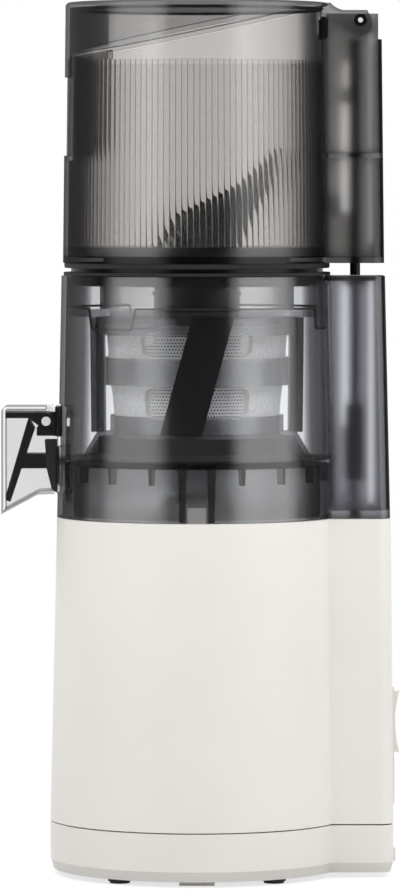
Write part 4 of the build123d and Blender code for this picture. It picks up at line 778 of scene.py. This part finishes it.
@dataclass
class Studio:
    """Camera, lamps and the plain pale floor, in metres."""

    eye: Point = (0.0014, -2.69, 0.312)
    aim: Point = (0.0014, 0.0, 0.197)
    lens: float = 236.5
    sensor: float = 36.0
    clip: Span = (0.05, 50.0)
    world_strength: float = 0.25
    room_strength: float = 0.035
    wall_strength: float = 0.5
    wall_ways: Span = (0.1, 0.7)  # how far back a ray points where the wall starts and is full
    ceiling_strength: float = 0.7
    ceiling_ways: Span = (0.3, 0.9)  # and how far up, for the ceiling
    cards: tuple[Card, ...] = (Card(-55.0, 23.0, 12.0, 1.8), Card(62.0, 26.0, 12.0, 2.3))
    lamp_count: int = 8
    lamp_distance: float = 0.9
    lamp_height: float = 1.0
    lamp_size: Span = (0.55, 0.4)
    lamp_aim: Point = (0.0, 0.0, 0.2)
    lamp_power: float = 5.0
    lamp_lean: float = 0.08  # how much brighter the right side is lit
    floor_radii: tuple[float, ...] = (1.0, 150.0, 400.0, 1000.0, 3000.0)  # in millimetres
    floor_tone: Colour = (0.92, 0.92, 0.92)
    bounce_tone: Colour = (0.37, 0.37, 0.37)  # of the light that it throws back on the object
    fade: Span = (0.05, 0.16)  # distances between which the lit floor turns plain white
    fade_shares: Span = (0.72, 1.0)  # share of plain white at these distances
    clear_walls: int = 32  # how many of them light may pass through

    def camera(self) -> None:
        """Sets the camera level with the hopper, looking slightly down."""
        data = bpy.data.cameras.new("view_camera")
        data.lens, data.sensor_width, data.sensor_fit = self.lens, self.sensor, "AUTO"
        data.clip_start, data.clip_end = self.clip
        bpy.context.scene.camera = stand("view_camera", data, self.eye, self.aim)

    def world(self) -> None:
        """A soft surround: plain white to the eye, and in reflections white cards in a dim room."""
        world = bpy.data.worlds.new("soft_room")
        bpy.context.scene.world = world
        g = Graph(world)
        glossy = g.ray("Glossy")
        seen = g.most(g.ray("Camera"), g.ray("Transmission"))
        way = g.node("SeparateXYZ", {0: g.node("TexCoord").outputs["Generated"]}).outputs
        wall = g.spread(way[1], self.wall_ways, (self.room_strength, self.wall_strength))
        ceiling = g.spread(way[2], self.ceiling_ways, (0.0, self.ceiling_strength))
        mirrored = g.most(wall, ceiling, *(card.brightness(g, way) for card in self.cards))
        plain = g.times(g.rest(glossy), self.world_strength)
        strength = g.most(seen, g.math("MULTIPLY_ADD", glossy, mirrored, plain))
        g.finish(g.shader("Background", {"Color": opaque(WHITE), "Strength": strength}))

    def lamps(self) -> None:
        """A ring of soft boxes above the object; white cards stand in for them in reflections."""
        for i in range(self.lamp_count):
            turn = FULL_TURN * i / self.lamp_count
            right, away = math.sin(turn), -math.cos(turn)
            data = bpy.data.lights.new(f"box_{i}", "AREA")
            data.shape, (data.size, data.size_y) = "RECTANGLE", self.lamp_size
            data.energy = self.lamp_power * (1 + self.lamp_lean * right)
            place = (self.lamp_distance * right, self.lamp_distance * away, self.lamp_height)
            stand(f"box_{i}", data, place, self.lamp_aim).visible_glossy = False

    def floor(self) -> None:
        """A wide disc, pale and lit under the object, plain white further out."""
        rows = around(np.array(self.floor_radii)[:, None], open_turn(steps=96), np.array(0.0))
        disc = bpy.data.objects.new("studio_floor", Sheet().grid(rows, wrap_v=True).mesh("studio_floor"))
        bpy.context.scene.collection.objects.link(disc)
        g = Graph(bpy.data.materials.new("pale_floor"))
        pale = g.blend(g.ray("Diffuse"), self.floor_tone, self.bounce_tone)
        distance = g.node("VectorMath", {0: g.place()}, operation="LENGTH").outputs["Value"]
        seen = g.most(g.ray("Camera"), g.ray("Glossy"), g.ray("Transmission"))
        share = g.times(g.spread(distance, self.fade, self.fade_shares), seen)
        white = g.shader("Emission", {"Color": opaque(WHITE), "Strength": 1.0})
        disc.data.materials.append(g.finish(g.mix(share, g.shader("BsdfDiffuse", {"Color": pale}), white)))

    def build(self) -> None:
        """Sets the stage and lets light pass through many thin walls."""
        self.camera()
        self.world()
        self.lamps()
        self.floor()
        bpy.context.scene.view_settings.view_transform = "Standard"
        bpy.context.scene.cycles.transparent_max_bounces = self.clear_walls


# ---- shared measures and the plain unit
@dataclass(frozen=True)
class Cone:
    """A straight round taper: its radius at two heights, in millimetres."""

    z_low: float
    z_high: float
    r_low: float
    r_high: float

    def radius(self, z: Array | float) -> Array | float:
        """Radius at height z."""
        return self.r_low + (self.r_high - self.r_low) * (z - self.z_low) / (self.z_high - self.z_low)


HOPPER_WALL = Cone(281.0, 400.0, 61.6, 60.3)
BOWL_WALL = Cone(164.3, 275.0, 64.4, 62.3)
STRAINER_WALL = Cone(191.0, 259.0, 36.0, 42.6)


@dataclass
class Unit:
    """A sub-assembly: it dresses its CAD nodes and may add finer pieces to one body."""

    palette: Palette
    body: ClassVar[str] = ""  # that its own pieces ride on
    looks: ClassVar[dict[str, tuple[str, ...]]] = {}  # the nodes in each finish

    def dress(self) -> None:
        """Gives the CAD nodes their finishes and reports each."""
        for finish, nodes in self.looks.items():
            for node in nodes:
                self.palette.dress(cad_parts[node], finish)
                log.info("%s: dressed in %s", node, finish)

    def add(self, sheet: Sheet, name: str, slot: str, finish: str, *replaced: str) -> Piece:
        """Makes a sheet a piece that rides on this unit's body.

        Args:
            sheet: the points and faces.
            name: name of the piece.
            slot: the record's material slot; not used.
            finish: name of the finish.
            replaced: CAD nodes that it stands for.

        Returns:
            The finished piece.
        """
        mesh = sheet.mesh(name)
        mesh.shade_smooth()
        mesh.set_sharp_from_angle(angle=SHARP_ANGLE)
        made = bpy.data.objects.new(name, mesh)
        bpy.context.scene.collection.objects.link(made)
        self.palette.dress(made, finish)
        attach(made, self.body)
        if replaced:
            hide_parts(*replaced)
        log.info("%s: %d faces on %s", name, len(mesh.polygons), self.body)
        return made

    def build(self) -> None:
        """Dresses the nodes. A unit with pieces of its own adds them after that."""
        self.dress()


# ---- the base
@dataclass
class Base(Unit):
    """Cream motor base with its feet, switch, inlet and drive."""

    looks = {
        "cream_shell": ("base_housing", "base_bottom_cover", "switch_bezel", "rocker_switch", "cord_inlet"),
        "foot_rubber": ("rubber_feet", "shaft_seal"),
        "satin_black": ("interlock_switch", "interlock_plunger"),
        "gear_nylon": ("counter_gear", "output_gear", "gearbox_housing", "gearbox_cover"),
        "polished_steel": ("counter_pin", "cover_screws", "gearbox_screws", "drive_shaft", "motor_bearings",
                           "motor_pinion"),
        "drawn_steel": ("motor_can", "motor_end_plate", "motor_stator", "motor_rotor"),
        "turned_brass": ("output_bush",),
        "solder_mask": ("control_board",),
    }


# ---- the bowl
@dataclass
class Bowl(Unit):
    """Smoked bowl with its locking ring, whose lower edge drops into three tabs."""

    body = "chamber"
    looks = {"bowl_smoke": ("chamber_bowl",), "foot_rubber": ("tube_seal", "pulp_packing"),
             "satin_black": ("idler_gear",)}
    ring_outer: float = 59.9
    ring_wall: float = 1.0
    ring_top: float = 274.2
    ring_edge: float = 261.0
    ring_steps: int = 360
    tab_drop: float = 9.4
    tab_half: float = 0.224  # these three in radians
    tab_soft: float = 0.045
    tab_middle: float = -2.30
    tab_count: int = 3
    bead: float = 1.0
    bead_proud: Span = (0.1, 0.15)  # past the ring's outer and inner wall
    band_radius: float = 56.6
    band_wall: float = 1.2
    band_reach: Span = (164.9, 188.3)
    band_steps: int = 240
    mark_angle: float = -2.744
    mark_z: float = 208.5
    mark_half: Span = (0.024, 1.9)  # half arc in radians and half height
    mark_layers: tuple[float, ...] = (0.2, 0.2, -0.3)  # off the wall, from its middle out and back in

    def edge(self, angle: Array) -> Array:
        """The ring's lower edge: level, less a pulse with cosine slopes at each tab.

        Args:
            angle: angles round the ring in radians.

        Returns:
            The heights there.
        """
        turn = FULL_TURN / self.tab_count
        away = np.abs(np.mod(angle - self.tab_middle + turn / 2, turn) - turn / 2)
        slope = np.clip((self.tab_half + self.tab_soft / 2 - away) / self.tab_soft, 0.0, 1.0)
        return self.ring_edge - self.tab_drop * (0.5 - 0.5 * np.cos(math.pi * slope))

    def ring(self) -> None:
        """The ring and the dark bead along its foot, both following the edge."""
        foot = self.edge(open_turn(self.ring_steps, -math.pi))
        outer, inner = self.ring_outer, self.ring_outer - self.ring_wall
        self.add(wavy_ring(outer, inner, foot, np.full_like(foot, self.ring_top)),
                 "locking_ring", "smoke_bowl", "ring_smoke")
        proud_out, proud_in = self.bead_proud
        self.add(wavy_ring(outer + proud_out, inner - proud_in, foot - self.bead, foot),
                 "locking_ring_bead", "black_plastic", "foot_rubber")

    def foot_band(self) -> None:
        """A frosted inner skirt under the bowl's floor, behind the ribs."""
        self.add(plain_band(self.band_radius, self.band_radius - self.band_wall, *self.band_reach,
                            self.band_steps), "bowl_foot_band", "smoke_bowl", "band_frost")

    def slot_mark(self) -> None:
        """A small pale pill on the wall by the spout: an oval |u|^4 + |v|^4 = 1 laid on the bowl."""
        turn = open_turn(steps=40)
        size = (np.cos(turn) ** 4 + np.sin(turn) ** 4) ** -0.25
        half_u, half_v = self.mark_half
        share = np.array([POLE, 1.0, 1.0])[:, None]
        height = self.mark_z + share * half_v * size * np.sin(turn)
        radius = BOWL_WALL.radius(height) + np.array(self.mark_layers)[:, None]
        rows = around(radius, self.mark_angle + share * half_u * size * np.cos(turn), height)
        self.add(Sheet().grid(rows, wrap_v=True, flip=True), "spout_side_mark", "pale_frame", "gear_nylon")

    def build(self) -> None:
        """Dresses the bowl and adds the locking ring, the skirt and the mark."""
        self.dress()
        self.ring()
        self.foot_band()
        self.slot_mark()


# ---- the strainer
@dataclass
class Strainer(Unit):
    """Pale strainer frame with perforated steel screens behind rounded windows."""

    body = "chamber"
    looks = {"strainer_pale": ("strainer_frame", "strainer_mesh")}
    window_arc: float = math.radians(80.0)
    window_middles: tuple[float, ...] = tuple(math.radians(a) for a in (-90.0, 30.0, 150.0))
    rows: tuple[Span, ...] = ((209.0, 225.5), (237.5, 250.5))
    screen_depth: float = 2.3
    screen_wall: float = 0.3
    overlap_arc: float = 0.1  # past the windows, in radians
    overlap: float = 2.4  # and in height
    pitch: float = 1.5
    hole: float = 0.42
    rim_depth: float = 2.1
    rim_proud: float = 0.25
    rim_opening: float = 0.94
    corner_power: float = 5.0

    def cell(self) -> tuple[Array, Array]:
        """One cell of the screen.

        Returns:
            The 16 points of a square and of the eight-sided hole in it, and the 8 faces between them.
        """
        square = np.array([(-1, -1), (0, -1), (1, -1), (1, 0), (1, 1), (0, 1), (-1, 1), (-1, 0)], float)
        turn = np.arctan2(square[:, 1], square[:, 0])
        round_hole = self.hole * np.stack([np.cos(turn), np.sin(turn)], -1)
        k = np.arange(8)
        faces = np.stack([k, (k + 1) % 8, (k + 1) % 8 + 8, k + 8], -1)
        return np.vstack([square * self.pitch / 2, round_hole]), faces

    def screen(self) -> None:
        """The screens: cells in staggered rows, laid on the cone behind each window."""
        cell, quads = self.cell()
        sheet = Sheet()
        for z_low, z_high in self.rows:
            z_middle = (z_low + z_high) / 2
            radius = STRAINER_WALL.radius(z_middle) - self.screen_depth
            across = int(round(radius * (self.window_arc + self.overlap_arc) / self.pitch))
            up = int(round((z_high - z_low + self.overlap) / self.pitch))
            u = (np.arange(across) - (across - 1) / 2) * self.pitch
            v = (np.arange(up) - (up - 1) / 2) * self.pitch
            across_all, up_all = np.meshgrid(u, v, indexing="ij")
            stagger = (np.arange(up) % 2) * self.pitch / 2
            flat = np.stack([across_all + stagger, up_all], -1).reshape(-1, 1, 2) + cell
            z = z_middle + flat[..., 1]
            faces = np.arange(len(flat))[:, None, None] * len(cell) + quads
            for middle in self.window_middles:
                angle = middle + flat[..., 0] / radius
                sheet.patch(around(STRAINER_WALL.radius(z) - self.screen_depth, angle, z), faces)
        made = self.add(sheet, "strainer_screen", "bright_steel", "screen_steel", "strainer_mesh")
        thick = made.modifiers.new("gauge", "SOLIDIFY")
        thick.thickness, thick.offset = self.screen_wall * MM, -1.0

    def lay(self, shape: Array, window: tuple[Span, float], scale: float, depth: float) -> Array:
        """Lays an outline on the cone.

        Args:
            shape: points of the outline, within -1 to 1 both ways.
            window: the window's two heights and its middle angle.
            scale: size of the outline as a share of the window.
            depth: how far below the cone's surface it lies.

        Returns:
            The points.
        """
        (z_low, z_high), middle = window
        z = (z_low + z_high) / 2 + shape[:, 1] * ((z_high - z_low) / 2) * scale
        angle = middle + shape[:, 0] * (self.window_arc / 2) * scale
        return around(STRAINER_WALL.radius(z) - depth, angle, z)

    def rims(self) -> None:
        """Window frames: between a rectangle and a rounded opening |u|^n + |v|^n = 1 inside it."""
        turn, n = open_turn(steps=96), self.corner_power
        size = (np.abs(np.cos(turn)) ** n + np.abs(np.sin(turn)) ** n) ** (-1 / n)
        opening = np.stack([size * np.cos(turn), size * np.sin(turn)], -1)
        square = opening / np.abs(opening).max(-1, keepdims=True)
        section = ((square, 1.0, -self.rim_proud), (square, 1.0, self.rim_depth),
                   (opening, self.rim_opening, self.rim_depth), (opening, self.rim_opening, -self.rim_proud))
        sheet = Sheet()
        for window in ((row, middle) for row in self.rows for middle in self.window_middles):
            loop = [self.lay(shape, window, scale, depth) for shape, scale, depth in section]
            sheet.grid(np.stack(loop, 1), wrap_u=True, wrap_v=True)
        self.add(sheet, "window_rims", "pale_frame", "strainer_pale")

    def build(self) -> None:
        """Dresses the frame and adds screens and rims."""
        self.dress()
        self.screen()
        self.rims()


# ---- the wiper
@dataclass
class Wiper(Unit):
    """Turning cage with dark side posts and two slanted blades."""

    body = "wiper"
    looks = {"cage_smoke": ("wiper_frame",), "satin_black": ("wiper_ring_gear", "wiper_blades")}
    cage: Cone = Cone(203.0, 256.0, 46.1, 46.6)
    post_half: float = 5.65
    post_wall: float = 3.38
    post_proud: float = 2.6
    post_margin: float = 0.2  # short of the cage at either end
    post_stations: int = 13

    def posts(self) -> None:
        """A sleeve round each side post: a six-cornered section carried up the cage."""
        margin = self.post_margin
        z = np.linspace(self.cage.z_low + margin, self.cage.z_high - margin, self.post_stations)
        outer, inner = self.cage.radius(z) + self.post_proud, self.cage.radius(z) - self.post_wall
        lean = np.arcsin(self.post_half / outer)
        radius = np.stack([outer, outer, outer, inner, inner, inner], -1)
        angle = np.stack([-lean, 0 * lean, lean, lean, 0 * lean, -lean], -1)
        sheet = Sheet()
        for side in (0.0, math.pi):
            sheet.grid(around(radius, side + angle, z[:, None]), wrap_v=True, flip=True)
        self.add(sheet, "wiper_post_sleeves", "smoke_bowl", "post_smoke")

    def build(self) -> None:
        """Dresses the cage and its blades, and adds the sleeves."""
        self.dress()
        self.posts()


# ---- the auger
@dataclass
class AugerUnit(Unit):
    """Black auger with its foot gear and drive bush."""

    looks = {"satin_black": ("auger", "auger_foot_gear"), "turned_brass": ("auger_drive_bush",)}


# ---- the spout
@dataclass
class Spout(Unit):
    """Clear tilting hood on a black lever, with its soft plug."""

    body = "spout_valve"
    looks = {"clear_hood": ("spout_hood",), "satin_black": ("spout_bracket", "spout_lever"),
             "foot_rubber": ("spout_plug",), "screen_steel": ("spout_screw",)}
    rim_x: tuple[float, ...] = (-88.9, -73.2, -65.4)
    rim_z: tuple[float, ...] = (166.2, 174.7, 175.3)
    rim_y: float = 14.0
    rim_wall: float = 0.5
    rim_height: float = 1.5

    def rim(self) -> None:
        """A grey bead along the foot of each side of the hood, which follows its edge."""
        x, foot = np.array(self.rim_x), np.array(self.rim_z)
        self.add(mirrored_plates(x, foot, foot + self.rim_height, self.rim_y, self.rim_wall),
                 "hood_foot_rim", "smoke_bowl", "band_smoke")

    def build(self) -> None:
        """Dresses the spout and adds the bead."""
        self.dress()
        self.rim()


# ---- the hopper
@dataclass
class Hopper(Unit):
    """Smoked hopper with a fluted lining and a plain band at its foot."""

    body = "hopper"
    looks = {"hopper_smoke": ("hopper_body",), "satin_black": ("neck_ring",), "foot_rubber": ("neck_gasket",),
             "drawn_steel": ("position_magnet",), "screen_steel": ("lid_hinge_screws",)}
    wall: float = 2.2
    flutes: int = 134
    flute_stations: tuple[float, ...] = (-1.0, -0.94, -0.84, -0.62, 0.0, 0.62, 0.84, 0.94)
    flute_power: float = 8.0
    flute_low: float = 288.4
    flute_high: float = 373.3
    flute_gap: float = 0.08
    skin: float = 0.4
    ridge: float = 0.36
    pocket_low: float = 327.4
    pocket_arc: float = math.radians(17.0)
    # the black rings round the hinge screws are painted shade of the recess round each screw
    recess_shade_middle: Span = (74.5, 391.7)  # x and z of the hinge
    recess_shade_radii: Span = (1.2, 2.9)
    recess_shade_y: Span = (21.5, 22.0)
    web_x: Span = (56.2, 59.8)
    web_z: Span = (383.6, 393.0)
    web_y: float = 19.15
    web_layers: tuple[float, ...] = (0.0, 0.05, 0.25, 0.3)  # outwards from web_y
    flange_gap: float = 0.6
    flange_wall: float = 2.6
    flange_chamfer: float = 0.4
    flange_z: tuple[float, float, float] = (278.6, 279.2, 280.9)
    band_low: float = 283.6
    band_gap: float = 0.1
    band_wall: float = 1.6
    band_margin: float = 0.2  # short of the flutes

    def lining(self, low: float, high: float, gap: float) -> Sheet:
        """Part of the lining.

        Its outside lies on the wall. Its inside stands off by skin + ridge (1 - |s|^n), where s runs
        from -1 to 1 across a flute, so each flute is nearly flat and the flutes meet in narrow grooves.

        Args:
            low: height of its foot.
            high: height of its head.
            gap: half angle left open at the front, for the pocket.

        Returns:
            The sheet, closed on all sides.
        """
        step = FULL_TURN / self.flutes
        count = self.flutes - 2 * math.ceil(gap / step)
        across = np.tile(np.array(self.flute_stations), count)
        angle = (np.repeat(np.arange(count), len(self.flute_stations)) + (across + 1) / 2 - count / 2) * step
        if gap:
            across, angle = np.append(across, 1.0), np.append(angle, count * step / 2)
        bulge = self.skin + self.ridge * (1 - np.abs(across) ** self.flute_power)
        z = np.array([low, high, high, low])
        radius = np.tile(HOPPER_WALL.radius(z) - self.wall - self.flute_gap, (len(angle), 1))
        radius[:, 2:] -= bulge[:, None]
        rows = around(radius, angle[:, None], z[None])
        sheet = Sheet().grid(rows, wrap_u=not gap, wrap_v=True)
        if gap:
            sheet.grid(rows[0].reshape(2, 2, 3))
            sheet.grid(rows[-1].reshape(2, 2, 3), flip=True)
        return sheet

    def flute_lining(self) -> None:
        """The lining in two parts: all round below the finger pocket, and open at it above."""
        self.add(self.lining(self.flute_low, self.pocket_low, 0.0),
                 "flute_lining_low", "smoke_hopper", "flute_smoke")
        self.add(self.lining(self.pocket_low, self.flute_high, self.pocket_arc),
                 "flute_lining_high", "smoke_hopper", "flute_smoke")

    def recess_shade_rings(self) -> None:
        """Painted shade of the recess round each hinge screw: a black ring, a small rectangle carried round
        the screw's axis.
        """
        turn = open_turn(steps=32)[:, None]
        radius = np.array(self.recess_shade_radii)[None, [0, 1, 1, 0]]
        x, z = (middle + radius * way for middle, way in zip(self.recess_shade_middle, (np.cos(turn), np.sin(turn))))
        sheet = Sheet()
        for side in (-1, 1):
            y = np.broadcast_to(side * np.array(self.recess_shade_y)[[0, 0, 1, 1]], x.shape)
            sheet.grid(np.stack([x, y, z], -1) * MM, wrap_u=True, wrap_v=True, flip=side < 0)
        self.add(sheet, "hinge_recess_shade", "black_plastic", "satin_black")

    def webs(self) -> None:
        """Two thin dark webs beside the arm, which close the hinge slot."""
        shrink = np.array([POLE, 1.0, 1.0, POLE])[:, None]
        corners_x, corners_z = np.array(self.web_x)[[0, 1, 1, 0]], np.array(self.web_z)[[0, 0, 1, 1]]
        x, z = (line.mean() + shrink * (line - line.mean()) for line in (corners_x, corners_z))
        sheet = Sheet()
        for side in (-1, 1):
            y = np.broadcast_to(side * (self.web_y + np.array(self.web_layers))[:, None], x.shape)
            sheet.grid(np.stack([x, y, z], -1) * MM, wrap_v=True, flip=side > 0)
        self.add(sheet, "hinge_slot_webs", "black_plastic", "satin_black")

    def flange(self) -> None:
        """A dark flange round the neck, under the hopper's foot, with a chamfer below."""
        outer, (low, middle, high) = HOPPER_WALL.r_low - self.flange_gap, self.flange_z
        inner = outer - self.flange_wall
        self.add(ring_shell([(inner, low), (outer - self.flange_chamfer, low), (outer, middle), (outer, high),
                             (inner, high)]), "neck_flange", "black_rubber", "foot_rubber")

    def foot_band(self) -> None:
        """A plain frosted band inside the wall, below the flutes."""
        outer = HOPPER_WALL.radius(self.band_low) - self.wall - self.band_gap
        self.add(plain_band(outer, outer - self.band_wall, self.band_low, self.flute_low - self.band_margin),
                 "hopper_foot_band", "smoke_hopper", "band_frost")

    def build(self) -> None:
        """Dresses the hopper and adds the painted shade round the hinge screws, the webs, the lining, the
        flange and the band.
        """
        self.dress()
        self.recess_shade_rings()
        self.webs()
        self.flute_lining()
        self.flange()
        self.foot_band()


# ---- the lid
@dataclass
class Lid(Unit):
    """Smoked lid with an inner skirt above its slanted edge, and a dark seal under its roof."""

    body = "lid"
    looks = {"lid_smoke": ("hopper_lid",), "arm_smoke": ("lid_arm",)}
    slope: float = math.tan(math.radians(11.56))
    edge_height: float = 378.0
    edge_x: float = -41.0
    wall: float = 2.0
    wall_gap: float = 0.1
    roof_under: float = 397.6
    foot_margin: float = 0.35  # the skirt's foot stays this far below the roof
    head_margin: float = 0.05
    skirt_gap: float = 2.8
    skirt_wall: float = 0.9
    bead_proud: float = 0.05
    bead_wall: float = 1.2
    bead_height: float = 0.3
    steps: int = 240
    cheek_x: Span = (-55.8, -40.6)
    cheek_y: float = 14.6
    cheek_wall: float = 1.4
    cheek_margin: float = 0.2
    cheek_stations: int = 9
    seal_depths: Span = (1.2, 2.6)  # inwards from the skirt
    seal_z: Span = (396.2, 397.5)

    def parting(self, x: Array) -> Array:
        """Height of the slanted joint at x, in millimetres."""
        return self.edge_height + (x - self.edge_x) * self.slope

    def slanted_band(self, radius: float, low: float, high: float, thick: float) -> Sheet:
        """A ring whose foot and head run low and high above the slanted joint, up to the roof.

        Args:
            radius: outer radius.
            low: height of its foot above the joint.
            high: height of its head above the joint.
            thick: thickness.

        Returns:
            The sheet.
        """
        joint = self.parting(radius * np.cos(open_turn(self.steps, -math.pi)))
        foot = np.minimum(joint + low, self.roof_under - self.foot_margin)
        head = np.minimum(joint + high, self.roof_under - self.head_margin)
        return wavy_ring(radius, radius - thick, foot, head)

    def cheeks(self) -> None:
        """Two upright plates that close the finger pocket inside the lid, slanted along the joint."""
        x = np.linspace(*self.cheek_x, self.cheek_stations)
        head = np.full_like(x, self.roof_under - self.cheek_margin)
        self.add(mirrored_plates(x, self.parting(x) + self.skirt_gap, head, self.cheek_y, self.cheek_wall),
                 "lid_cheeks", "smoke_hopper", "band_smoke")

    def skirt(self) -> None:
        """The skirt up to the roof, the bead along its foot, and the seal inside it."""
        inside = HOPPER_WALL.radius(self.roof_under) - self.wall - self.wall_gap
        self.add(self.slanted_band(inside, self.skirt_gap, math.inf, self.skirt_wall),
                 "lid_skirt", "smoke_hopper", "skirt_smoke")
        foot = self.skirt_gap - self.bead_height
        self.add(self.slanted_band(inside + self.bead_proud, foot, self.skirt_gap, self.bead_wall),
                 "lid_skirt_bead", "black_plastic", "satin_black")
        outer, inner = (inside - depth for depth in self.seal_depths)
        self.add(plain_band(outer, inner, *self.seal_z), "lid_seal", "black_rubber", "foot_rubber")

    def build(self) -> None:
        """Dresses lid and arm and adds cheeks, skirt, bead and seal."""
        self.dress()
        self.cheeks()
        self.skirt()


# ---- the rods
@dataclass
class Interlock(Unit):
    """Spring-loaded rods that tell the base whether the lid is shut."""

    looks = {"satin_black": ("lower_rod", "rod_sleeve", "upper_rod", "rod_guide_cap"),
             "polished_steel": ("rod_spring",)}


def main() -> None:
    """Builds the scene in order."""
    logging.basicConfig(level=logging.INFO, format="%(name)s %(message)s")
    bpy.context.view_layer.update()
    Studio().build()
    palette = Palette()
    for unit in (Base, Bowl, Strainer, Wiper, AugerUnit, Spout, Hopper, Lid, Interlock):
        unit(palette).build()


if __name__ == "__main__":
    main()
